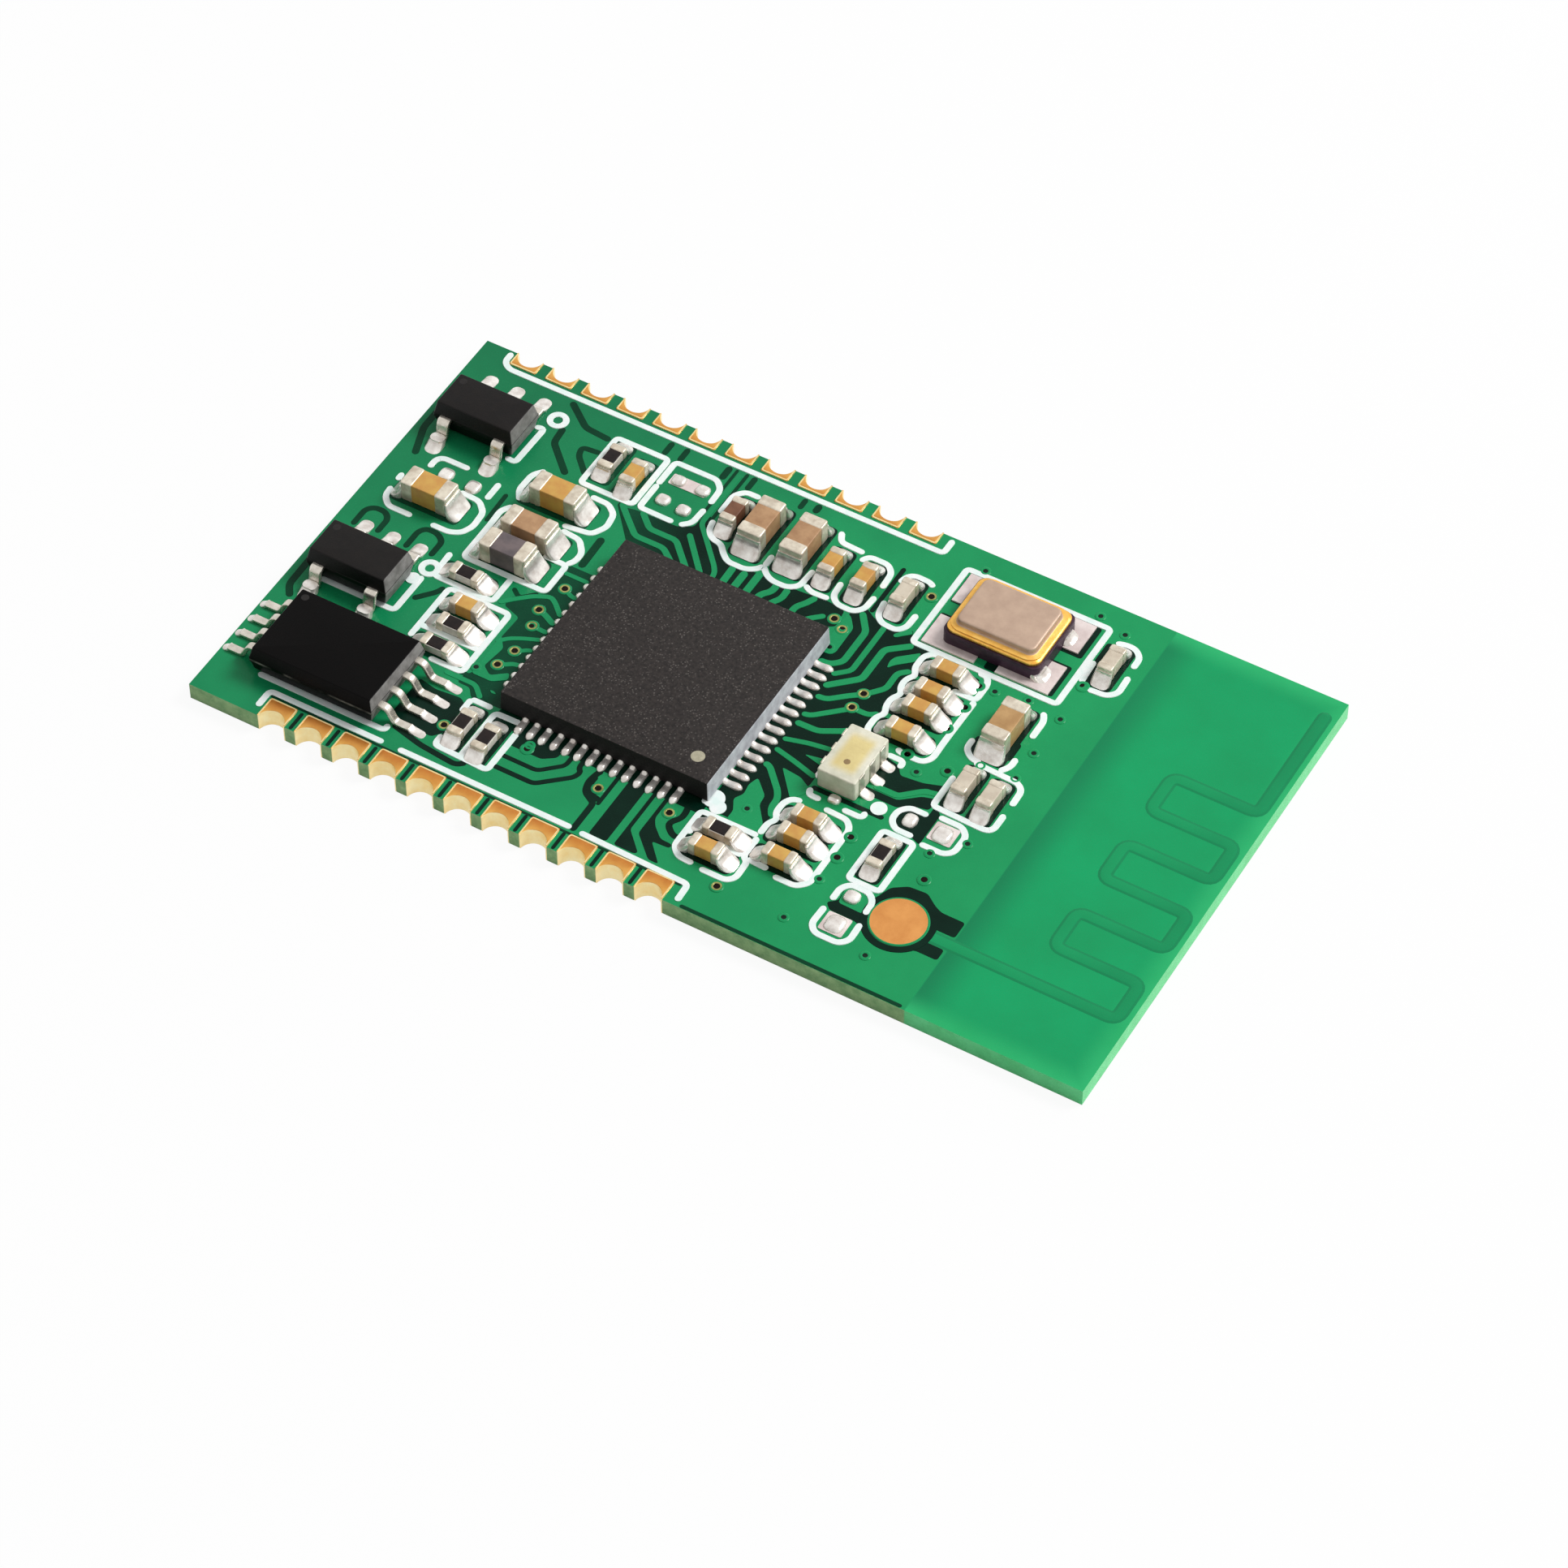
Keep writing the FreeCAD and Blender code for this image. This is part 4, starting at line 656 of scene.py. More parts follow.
loops = [
    [(6.65, 14.7), (6.65, 17.22), (8.8, 17.22), (8.8, 14.7)],
    [(20.6, 14.02), (20.6, 17.98), (26.3, 17.98), (26.3, 14.0)],
    [(23.95, 6.08), (25.15, 6.08), (25.15, 3.7), (23.95, 3.7)],
]
dots = [(23.35, 6.85, 0.3), (18.3, 4.42, 0.4), (18.62, 4.15, 0.3), (4.0, 7.8, 0.27)]
rings = [(4.26, 8.5, 0.3), (4.35, 16.9, 0.3)]
ink_line = 0.215
ink_low = top - 0.01
ink_top = top + 0.019
ink_finish = finish(
    "white_print_ink", (252, 255, 254), (232, 250, 245),
    patches=3.0, rough=(0.4, 0.6), relief=30.0, depth=0.003, gloss=0.3, wave=0.0,
)
printed = []
for n, frame_path in enumerate(frames):
    printed.append(ribbon(on_board(frame_path), ink_line, ink_low, ink_top + n % 9 * 3 * step, 0.16))
for n, loop in enumerate(loops):
    level = ink_top + 0.003 + n % 5 * 3 * step
    printed.append(ribbon(on_board(loop[::-1]), ink_line, ink_low, level, 0.14, True))
turn = np.linspace(0, 2 * math.pi, 16, endpoint=False)
circle = np.stack([np.cos(turn), np.sin(turn)], 1)
for n, (x, y, size) in enumerate(dots):
    printed.append(patch(on_board(circle * size + (x, y)), ink_low, ink_top + 0.005 + n * 4 * step, 0.05))
for x, y, size in rings:
    printed.append(ribbon(on_board(circle * size + (x, y)), ink_line, ink_low, ink_top + 0.0045, 0.1, True))
printed = [(made, 0) for made in printed]
piece("printed_frames", printed, [ink_finish])


# Edge pads: copper plated half-round through the board's edge and gold flashed. The lands look orange where
# the flash is thin; the pale barrels and the pale lines along the lands' rims are painted highlights, where
# they would catch light.
def edge_pad(x, edge_y, inward, depth):
    """One pad: a C-shaped section, each point a share of the way from the barrel to the land's rim
    and a height, carried round the half barrel from one side of the notch to the other. The rim is
    where a ray from the barrel's axis leaves the land's rectangle."""
    axis_y = edge_y - inward * notch_outset
    swing = math.asin(notch_outset / notch_radius)
    angle = np.linspace(swing, math.pi - swing, 41)
    reach_x = pad_width / 2 / np.maximum(np.abs(np.cos(angle)), 1e-9)
    reach_y = (depth + notch_outset) / np.sin(angle)
    rim = np.minimum(reach_x, reach_y)
    land = top + pad_copper
    bend = pad_copper * 0.6
    share = np.array([0, 0, 0.03, 0.2, 0.9, 1, 1, 0.12, 0.1, 0.1, 0.12, 1, 1, 0.2, 0.02, 0])
    level = np.array([
        bend, land - bend, land - bend / 4, land, land, land - bend / 2, top, top,
        top - 0.01, pad_copper + 0.01, pad_copper, pad_copper, 0, 0, 0, bend / 2,
    ])
    radius = notch_radius + share[None] * (rim - notch_radius)[:, None]
    lining = np.isin(np.arange(len(share)), (7, 8, 9, 10))
    radius = np.where(lining[None], notch_radius + barrel_wall, radius)
    spots_x = x + radius * np.cos(angle)[:, None]
    spots_y = axis_y + inward * radius * np.sin(angle)[:, None]
    spots_y = np.maximum(spots_y * inward, edge_y * inward) * inward
    heights = np.broadcast_to(level, radius.shape)
    rings = np.stack([spots_x, spots_y, heights], -1)
    return skin(rings[:, ::-1] if inward < 0 else rings)


pad_finish = finish(
    "gold_flash", (206, 134, 58), (186, 110, 44),
    patches=1.6, rough=(0.3, 0.45), relief=22.0, depth=0.002, metallic=0.6,
)
tree = pad_finish.node_tree
from_middle = maths(tree, "ABSOLUTE", place_axes(tree)[1])
to_notch = maths(tree, "MULTIPLY", ramp(tree, from_middle, 7.42, 7.9), 0.7)
part_of_colour(pad_finish, to_notch, (238, 188, 100), (222, 164, 78), patches=2.0)
# Painted highlight: the barrels' walls are painted pale, in place of the reflection of the bright studio.
walls = ramp(tree, steepness(tree), 0.3, 0.8)
part_of_colour(pad_finish, walls, (255, 240, 186), (250, 222, 152), patches=2.0)
# Painted highlight: a pale line along each land's rim.
rim_highlight_finish = finish(
    "gold_rim_painted_highlight", (250, 226, 166), (236, 204, 134),
    patches=3.0, rough=(0.25, 0.4), relief=22.0, depth=0.002, metallic=0.6,
)
notch_radius = 0.43
notch_outset = 0.05
pad_width = 0.94
pad_pitch = 1.27
pad_copper = 0.035
barrel_wall = 0.04
rim_line = 0.05
rim_inset = 0.03
gap_line = 0.13
first_pad = board_low[0] + 1.57
rows = [
    # number of pads, middle of the first, the board's edge, way inwards, depth of the land
    (12, first_pad, board_high[1], -1, 0.52),
    (11, first_pad + pad_pitch, board_low[1], 1, 0.75),
]
pads, gaps = [], []
for count, first, edge_y, inward, depth in rows:
    for n in range(count):
        x = first + n * pad_pitch
        pads.append((edge_pad(x, edge_y, inward, depth), 0))
        side, end = pad_width / 2 - rim_inset, edge_y + inward * (depth - rim_inset)
        start = edge_y + inward * rim_inset
        rim = np.array([(x - side, start), (x - side, end), (x + side, end), (x + side, start)])
        pads.append((ribbon(rim, rim_line, top + pad_copper - 0.01, top + pad_copper + 0.003, 0.08), 1))
        if n < count - 1 and inward > 0:
            middle = x + pad_pitch / 2
            gap = np.array([(middle, edge_y + 0.02), (middle, end)])
            gaps.append((ribbon(gap, gap_line, foot, top + 0.004, 0.05), 0))
piece("edge_pads", pads, [pad_finish, rim_highlight_finish], ["edge_pads_north", "edge_pads_south"])
piece("gaps_between_pads", gaps, [etch_finish])


# Plated holes: copper tubes through the board, most with a bare ring round the mouth. Those in
# the east have mask up to the hole. Other small holes are closed over by the mask as soft dimples.
def turned(x, y, radii, heights, points=28):
    """A ring turned about an upright axis through a place: its closed section has a radius and a
    height at each point."""
    angle = np.linspace(0, 2 * math.pi, points, endpoint=False)
    radii, heights = np.array(radii), np.array(heights)
    spots = np.stack([
        x + radii[:, None] * np.cos(angle), y + radii[:, None] * np.sin(angle),
        np.repeat(heights[:, None], points, axis=1),
    ], -1)
    return skin(spots, True)


def centres(node):
    """The middle of each loose solid of a CAD node, in millimetres, seen from above. The solids
    stand well apart, so points that are near each other belong together."""
    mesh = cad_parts[node].data
    flat = np.zeros(len(mesh.vertices) * 3)
    mesh.vertices.foreach_get("co", flat)
    spots = flat.reshape(-1, 3)[:, :2] * 1000
    widest = 0.42
    found = []
    while len(spots):
        near = np.linalg.norm(spots - spots[0], axis=1) < widest
        found.append((spots[near].min(0) + spots[near].max(0)) / 2)
        spots = spots[~near]
    return found


via_finish = finish(
    "olive_gold_ring", (176, 172, 104), (120, 128, 66),
    patches=5.0, rough=(0.25, 0.4), relief=20.0, depth=0.003, metallic=0.5,
)
hole_shade_finish = finish(
    "hole_painted_shade", (30, 18, 10), (18, 10, 6),
    patches=5.0, rough=(0.4, 0.6), relief=20.0, depth=0.003, gloss=0.1,
)
# Sections by radius and height: the copper barrel with its mouth, the mask's collar round that, the dark
# bore and a dark floor just under the mouth, both painted shade for the hole's depth. A disc is a ring
# whose hole is as fine as a pin.
hole = 0.1
pin = 0.002
barrel_radii = [hole, hole + 0.01, 0.155, 0.165, 0.165, hole]
barrel_levels = [top + 0.026, top + 0.033, top + 0.03, top + 0.012, 0, 0]
collar_radii = [0.15, 0.17, 0.19, 0.215, 0.215, 0.15]
collar_levels = [top + 0.026, top + 0.03, top + 0.026, top + 0.01, top - 0.01, top - 0.01]
wall_radii = [hole - 0.01, hole, hole, hole - 0.01]
wall_levels = [0.01, 0.01, top + 0.022, top + 0.022]
floor_radii = [pin, hole, hole, pin]
floor_levels = [top + 0.019, top + 0.019, top - 0.01, top - 0.01]
east_of = 4.5
masked_near = (-4.9, -4.5)
vias = []
for x, y in centres("via_barrels"):
    masked = x > east_of or (abs(x - masked_near[0]) < 0.3 and y < masked_near[1])
    vias += [
        (turned(x, y, barrel_radii, barrel_levels), 2 if masked else 0),
        (turned(x, y, collar_radii, collar_levels), 2),
        (turned(x, y, wall_radii, wall_levels), 1),
        (turned(x, y, floor_radii, floor_levels), 1),
    ]
piece("plated_holes", vias, [via_finish, hole_shade_finish, track_finish], ["via_barrels"])

closed_holes = on_board([
    (8.15, 5.4), (25.7, 18.35), (26.85, 18.0), (24.2, 13.43), (25.4, 13.65), (26.75, 13.45),
    (26.7, 11.65), (26.7, 10.35), (25.4, 10.25), (23.65, 8.9), (26.7, 7.0), (25.8, 6.0),
    (26.1, 1.1), (22.95, 1.15), (23.15, 3.17), (19.5, 4.6), (18.2, 13.35), (18.25, 12.35),
    (21.2, 18.2), (26.65, 15.2), (11.65, 3.3), (8.8, 7.98),
])
tent_finish = finish(
    "mask_in_hole", (7, 38, 26), (5, 30, 20),
    patches=4.0, rough=(0.12, 0.22), relief=14.0, depth=0.002, gloss=0.12, coat=0.12,
)
lip_radii = [0.05, 0.1, 0.13, 0.17, 0.17, 0.05]
lip_levels = [top + 0.012, top + 0.026, top + 0.03, top + 0.01, top - 0.01, top - 0.01]
dimple_radii = [pin, 0.06, 0.09, 0.09, pin]
dimple_levels = [top + 0.015, top + 0.017, top + 0.022, top - 0.01, top - 0.01]
tents = []
for x, y in closed_holes:
    tents += [(turned(x, y, lip_radii, lip_levels), 1), (turned(x, y, dimple_radii, dimple_levels), 0)]
piece("tented_holes", tents, [tent_finish, track_finish])


# Test pad and printed antenna: bare gold-flashed copper for the round pad, and one copper trace
# under the mask, which runs east from it and winds north along the board's end
test_finish = finish(
    "bare_test_copper", (226, 156, 84), (208, 136, 68),
    patches=1.4, rough=(0.35, 0.5), relief=30.0, depth=0.002, metallic=0.4,
)
dress("test_pad", test_finish)
antenna_finish = mask_finish("mask_on_antenna", (29, 155, 96), (28, 150, 93), patches=0.6)
tree = antenna_finish.node_tree
shaded = maths(tree, "MULTIPLY", ramp(tree, place_axes(tree)[0], 12.0, 14.0), 0.8)
part_of_colour(antenna_finish, shaded, (28, 146, 91), (27, 140, 88), patches=0.6)
# Painted shade: the trace's sloping shoulders are painted darker, as the shade along its edges.
painted_shade_shoulders = ramp(tree, steepness(tree), 0.001, 0.003)
part_of_colour(antenna_finish, painted_shade_shoulders, (28, 139, 88), (27, 134, 85), patches=0.6)
low, high = box_of("antenna_trace")
trace_width = 0.46
run_pitch = 1.43
runs = 7
winding_start = 2.48
pad_low, pad_high = box_of("test_pad")
pad_x, pad_y = ((pad_low + pad_high) / 2)[:2]
pad_radius = (pad_high - pad_low)[0] / 2
east, west = high[0] - trace_width / 2, ground_end + winding_start
winding = [(pad_x + 0.7, pad_y), (east, pad_y)]
for run in range(1, runs):
    ends = (east, west) if run % 2 else (west, east)
    winding += [(end, pad_y + run * run_pitch) for end in ends]
winding.append((east, high[1] - 0.005))
trace = ribbon(np.array(winding), trace_width, top - 0.001, top + 0.012, 0.3, slope=0.36)
piece("antenna_winding", [(trace, 0)], [antenna_finish], ["antenna_trace"])
moat_radii = pad_radius + np.array([-0.05, 0.25, 0.26, -0.05])
moat = turned(pad_x, pad_y, moat_radii, [top + 0.0125, top + 0.0125, top - 0.01, top - 0.01], 64)
collar_radii = pad_radius + np.array([-0.02, 0.02, 0.06, -0.02])
collar = turned(pad_x, pad_y, collar_radii, [top + 0.036, top + 0.036, top, top], 64)
piece("test_pad_moat", [(moat, 0), (collar, 1)], [etch_finish, track_finish])


# Bluetooth chip: a leadless package moulded in charcoal compound full of pale filler grains, with
# drafted sides. A pale dot marks its first terminal.
def rounded_outline(half_x, half_y, radius, steps=5):
    """Rectangles with round corners, one for each row of the three sizes: the corners' middles are
    the half sizes less the radius, and each corner is a quarter of a circle."""
    quarter = np.arange(4)[:, None] * 90 + np.linspace(0, 90, steps + 1)
    angle = np.radians(quarter).ravel()
    side_x = np.repeat([1, -1, -1, 1], steps + 1)
    side_y = np.repeat([1, 1, -1, -1], steps + 1)
    half_x, half_y, radius = (np.atleast_1d(size)[:, None] for size in (half_x, half_y, radius))
    return np.stack([
        side_x * (half_x - radius) + radius * np.cos(angle),
        side_y * (half_y - radius) + radius * np.sin(angle),
    ], -1)


def walled(outline, level):
    """A skin over rows of outlines, each lying at its own level."""
    heights = np.broadcast_to(level[:, None, None], (*outline.shape[:2], 1))
    return skin(np.concatenate([outline, heights], 2))


def block(low, high, corner, edge, draft=0.0):
    """A block between two corners. Its outline has round corners, its lower and upper edges are
    quarter rounds, and it narrows upwards by the draft in degrees."""
    low, high = np.array(low, float), np.array(high, float)
    bend = np.linspace(0, math.pi / 2, 6)
    inset = np.concatenate([edge * (1 - np.sin(bend)), edge * (1 - np.cos(bend))])
    level = np.concatenate([low[2] + edge * (1 - np.cos(bend)), high[2] - edge * (1 - np.sin(bend))])
    inset = inset + (level - low[2]) * math.tan(math.radians(draft))
    half = (high - low) / 2
    radius = np.maximum(corner - inset * 0.5, 0.004)
    outline = rounded_outline(half[0] - inset, half[1] - inset, radius)
    return walled(outline + ((low + high) / 2)[:2], level)


def painted_light_on_east_walls(tree):
    """1 on walls that face east, where a painted highlight stands for the light from the east, and 0
    elsewhere.
    """
    return ramp(tree, facing(tree)["X"], 0.5, 0.8)


chip_finish = finish(
    "speckled_moulding", (56, 51, 49), (36, 33, 32),
    patches=9.0, rough=(0.5, 0.7), relief=26.0, depth=0.006, gloss=0.2,
)
tree = chip_finish.node_tree
flecks = add(tree, "ShaderNodeTexVoronoi", {"Vector": millimetres(tree), "Scale": 12.0, "Randomness": 1.0})
fleck = ramp(tree, flecks.outputs["Distance"], 0.4, 0.15)
thin = add(tree, "ShaderNodeTexNoise", {"Vector": millimetres(tree), "Scale": 4.0, "Detail": 2.0})
shown = maths(tree, "MULTIPLY", fleck, ramp(tree, thin.outputs["Fac"], 0.36, 0.62))
part_of_colour(chip_finish, shown, (106, 100, 95), (82, 78, 76), patches=8.0)
# Painted shade: the chip's walls are painted darker, as sides turned away from the key light.
walls = ramp(tree, steepness(tree), 0.3, 0.6)
part_of_colour(chip_finish, walls, (24, 22, 22), (18, 17, 17), patches=3.0)
# Painted light: walls that face east are painted pale, as lit by the key light.
part_of_colour(chip_finish, painted_light_on_east_walls(tree), (206, 210, 216), (170, 172, 180), patches=3.0)
dot_finish = finish(
    "pale_mark", (186, 180, 156), (166, 160, 138),
    patches=8.0, rough=(0.5, 0.7), relief=30.0, depth=0.004, gloss=0.2,
)
chip_low, chip_high = box_of("bluetooth_chip_body")
chip_middle = (chip_low + chip_high) / 2
mark_inset = 0.8
mark_radius = 0.21
mark_x = chip_middle[0] + (chip_high - chip_low)[0] / 2 - mark_inset
mark_y = chip_middle[1] - (chip_high - chip_low)[1] / 2 + mark_inset
mark_radii = [pin, mark_radius - 0.02, mark_radius, mark_radius, pin]
mark_levels = chip_high[2] + np.array([0.003, 0.003, 0.001, -0.02, -0.02])
mark = turned(mark_x, mark_y, mark_radii, mark_levels)
piece("bluetooth_chip", [(block(chip_low, chip_high, 0.06, 0.02, draft=3.0), 0), (mark, 1)],
      [chip_finish, dot_finish], ["bluetooth_chip_body"])


# Solder of the bluetooth chip: it wets each terminal, climbs the package's side and ends in a fat
# bright bead at the land's end
def loaf(out, half_width, height, power=0.8):
    """A loaf lying along x: at each station a half superellipse of that width and height stands on
    the board, cosine and sine raised to the power."""
    angle = np.linspace(0, math.pi, 11)
    side = np.sign(np.cos(angle)) * np.abs(np.cos(angle)) ** power
    up = np.abs(np.sin(angle)) ** power
    rings = np.stack(np.broadcast_arrays(
        out[:, None], half_width[:, None] * side, height[:, None] * up), -1)
    buried = rings[:, [0, -1]] - (0, 0, 0.02)
    return skin(np.concatenate([buried[:, :1], rings, buried[:, 1:]], 1))


def heading(turn):
    """The cosine and sine of an angle in degrees."""
    return math.cos(math.radians(turn)), math.sin(math.radians(turn))


def placed(made, x, y, z=0.0, turn=0.0):
    """A skin turned about the upright axis by an angle in degrees and then moved."""
    vertices, groups = made
    c, s = heading(turn)
    return vertices @ np.array([[c, s, 0], [-s, c, 0], [0, 0, 1]]) + (x, y, z), groups


solder_finish = finish(
    "bright_solder", (250, 246, 240), (206, 196, 188),
    patches=3.2, rough=(0.14, 0.28), relief=2.5, depth=0.005, metallic=0.5,
)
terminal_reach = 0.6
terminal_pitch = 0.4
terminal_half = 0.12
terminals_a_side = 14
under = 0.04
out = -under + (terminal_reach + under) * (1 - np.cos(np.linspace(0, math.pi, 15))) / 2
share = np.clip(out / terminal_reach, 0, 1)
end_round = np.sqrt(np.clip(1 - np.clip((share - 0.72) / 0.28, 0, 1) ** 2, 0.0004, 1))
climb = 0.06 * np.exp(-(share / 0.1) ** 2) + 0.09 + 0.03 * np.exp(-((share - 0.68) / 0.22) ** 2)
swell = 0.94 + 0.1 * np.exp(-((share - 0.66) / 0.25) ** 2)
bead = loaf(out, terminal_half * swell * end_round, climb * end_round)
short_bead = loaf(out * 0.72, terminal_half * swell * end_round, climb * end_round)
beads = []
half_side = (chip_high - chip_low)[0] / 2
for turn in (0, 90, 180, 270):
    c, s = heading(turn)
    for n in range(terminals_a_side):
        aside = (n - (terminals_a_side - 1) / 2) * terminal_pitch
        x = chip_middle[0] + c * half_side - s * aside
        y = chip_middle[1] + s * half_side + c * aside
        beads.append((placed(bead if turn in (0, 270) else short_bead, x, y, top, turn), 0))
piece("bluetooth_chip_solder", beads, [solder_finish], ["bluetooth_chip_terminals"])
dress("bluetooth_chip_ground_pad", solder_finish)


# Memory chip and regulators: black bodies moulded in two drafted halves, so a line runs round them
# where the halves meet, and tinned leads bent to the board
package_finish = finish(
    "black_moulding", (24, 20, 18), (18, 15, 14),
    patches=5.0, rough=(0.4, 0.55), relief=24.0, depth=0.005, gloss=0.18,
)
memory_finish = finish(
    "gloss_moulding", (10, 6, 5), (6, 4, 3),
    patches=5.0, rough=(0.34, 0.5), relief=24.0, depth=0.004, gloss=0.07,
)
for material in (package_finish, memory_finish):
    tree = material.node_tree
    # Painted shade on the walls, and painted light on the walls that face east
    part_of_colour(material, ramp(tree, steepness(tree), 0.3, 0.7), (12, 9, 8), (8, 6, 6), patches=3.0)
    part_of_colour(material, painted_light_on_east_walls(tree), (140, 138, 136), (108, 106, 104), patches=3.0)
# Painted highlight: a broken line of light is painted along the memory chip's south side, where its two
# halves meet
tree = memory_finish.node_tree
_, y, z = place_axes(tree)
highlight_breaks = add(tree, "ShaderNodeTexNoise", {"Vector": millimetres(tree), "Scale": 1.1, "Detail": 2.0})
seam_highlight = maths(tree, "MULTIPLY", ramp(tree, highlight_breaks.outputs["Fac"], 0.42, 0.6), ramp(tree, y, -5.6, -5.9))
at_seam = maths(tree, "MULTIPLY", ramp(tree, z, 1.08, 1.13), ramp(tree, z, 1.2, 1.15))
seam_highlight = maths(tree, "MULTIPLY", seam_highlight, at_seam)
part_of_colour(memory_finish, seam_highlight, (120, 118, 112), (90, 88, 84), patches=6.0)


def package(low, high, draft, band):
    """A two-part moulding: outlines of rows that swell to the band at mid height and draw in above
    it, with quarter rounds at the top and bottom edges."""
    middle, half = (low + high) / 2, (high - low) / 2
    slope = math.tan(math.radians(draft))
    bend = np.linspace(0, math.pi / 2, 6)
    edge, corner, lip, lip_rise = 0.035, 0.05, 0.012, 0.004
    below, above = middle[2] - band / 2, middle[2] + band / 2
    level = np.concatenate([
        low[2] + edge * (1 - np.cos(bend)), [below, below + lip_rise],
        [above - lip_rise, above], high[2] - edge * (1 - np.sin(bend)),
    ])
    rounding = np.concatenate([edge * (1 - np.sin(bend)), [0, 0, 0, 0], edge * (1 - np.cos(bend))])
    away = np.maximum(np.abs(level - middle[2]) - band / 2, 0)
    lips = np.concatenate([np.full(7, lip), [0, 0], np.full(7, lip)])
    inset = away * slope + rounding + lips
    outline = rounded_outline(half[0] - inset, half[1] - inset, np.full(len(inset), corner))
    return walled(outline + middle[:2], level)


dot_rise = 0.001


def print_dot(x, y, radius, rim, level):
    """A flat dot just proud of a level surface, whose side slopes down into it."""
    return turned(x, y, [pin, radius, rim, pin], level + np.array([dot_rise, dot_rise, -0.02, -0.02]))


def swept(path, half_width, half_thickness):
    """A flat bar carried along a path of (out, up) points: a round-cornered section stands square
    to the path at each one."""
    along = np.gradient(path, axis=0)
    along = along / np.linalg.norm(along, axis=1, keepdims=True)
    section = rounded_outline(half_width, half_thickness, half_thickness * 0.55, 3)[0]
    out = path[:, :1] - along[:, 1:] * section[:, 1]
    up = path[:, 1:] + along[:, :1] * section[:, 1]
    side = np.broadcast_to(section[:, 0], out.shape)
    return skin(np.stack([out, side, up], -1))


def lead_path(exit_height, reach, foot, half_thickness):
    """The middle line of a gull-wing lead: level, then down a slope, then level on its foot, with
    both bends eased."""
    heel = reach - foot
    corners = np.array([
        (-0.05, exit_height), (0.5 * heel, exit_height), (heel, half_thickness), (reach, half_thickness),
    ])
    return eased(corners, 0.14, False)


lead_finish = finish(
    "tinned_lead", (222, 216, 204), (196, 188, 176),
    patches=4.0, rough=(0.2, 0.36), relief=8.0, depth=0.004, metallic=0.85,
)
mark_finish = finish(
    "moulded_dimple", (40, 37, 36), (32, 29, 28),
    patches=8.0, rough=(0.3, 0.5), relief=24.0, depth=0.004, gloss=0.2,
)
lead_half = 0.07
memory_leads = [(turn, aside * 0.65) for turn in (0, 180) for aside in (-1.5, -0.5, 0.5, 1.5)]
regulator_leads = [(90, -0.95), (90, 0), (90, 0.95), (270, -0.95), (270, 0.95)]
packages = [
    # name, finish, leads (turn, place along the side), their width, exit height, reach and foot
    ("memory_chip", memory_finish, memory_leads, 0.25, 0.55, 1.0, 0.5),
    ("regulator_1", package_finish, regulator_leads, 0.4, 0.59, 0.62, 0.35),
    ("regulator_2", package_finish, regulator_leads, 0.4, 0.59, 0.62, 0.35),
]
mould_draft = 12.0
mould_band = 0.14
dimple_inset = 0.35
toes = []
for name, shell, leads, width, exit_height, reach, foot_run in packages:
    low, high = box_of(f"{name}_body")
    middle, half = (low + high) / 2, (high - low) / 2
    high[2] -= dot_rise * 2
    dimple = print_dot(low[0] + dimple_inset, high[1] - dimple_inset, 0.12, 0.14, high[2])
    body = [(package(low, high, mould_draft, mould_band), 0), (dimple, 1)]
    piece(name, body, [shell, mark_finish], [f"{name}_body"])
    made = []
    for turn, aside in leads:
        c, s = heading(turn)
        wall = abs(c) * half[0] + abs(s) * half[1]
        aside *= 1 if turn in (0, 90) else -1
        x = middle[0] + c * wall - s * aside
        y = middle[1] + s * wall + c * aside
        path = lead_path(exit_height, reach, foot_run, lead_half)
        made.append((placed(swept(path, width / 2, lead_half), x, y, top, turn), 0))
        toes.append((x + c * reach, y + s * reach, turn, width))
    piece(f"{name}_tinned_leads", made, [lead_finish], [f"{name}_leads"])


# Crystal: a dark ceramic tray, a gold seal ring with a step round its rim, and a nickel lid that is
# pressed up in the middle and welded along its flange. It sits on four flat tinned lands.
tray_finish = finish(
    "fired_dark_ceramic", (66, 42, 62), (48, 30, 44),
    patches=4.0, rough=(0.3, 0.5), relief=20.0, depth=0.004, gloss=0.25,
)
gold_finish = finish(
    "gold_seal_ring", (250, 196, 96), (238, 172, 70),
    patches=4.0, rough=(0.24, 0.36), relief=5.0, depth=0.001, metallic=0.7,
)
lid_finish = finish(
    "satin_nickel_lid", (196, 168, 146), (182, 154, 134),
    patches=2.0, rough=(0.4, 0.55), relief=40.0, depth=0.003, metallic=0.35,
)
low, high = box_of("crystal_base")
tray = block(low, high, 0.25, 0.02)
piece("crystal_tray", [(tray, 0)], [tray_finish], ["crystal_base"])


def stepped(low, high, corner, steps):
    """A round-cornered block whose wall steps in: (inset, share of the height) for each ring."""
    inset = np.array([inset for inset, _ in steps])
    level = low[2] + (high[2] - low[2]) * np.array([share for _, share in steps])
    half, middle = (high - low) / 2, (low + high) / 2
    outline = rounded_outline(half[0] - inset, half[1] - inset, np.maximum(corner - inset, 0.02), 6)
    return walled(outline + middle[:2], level)


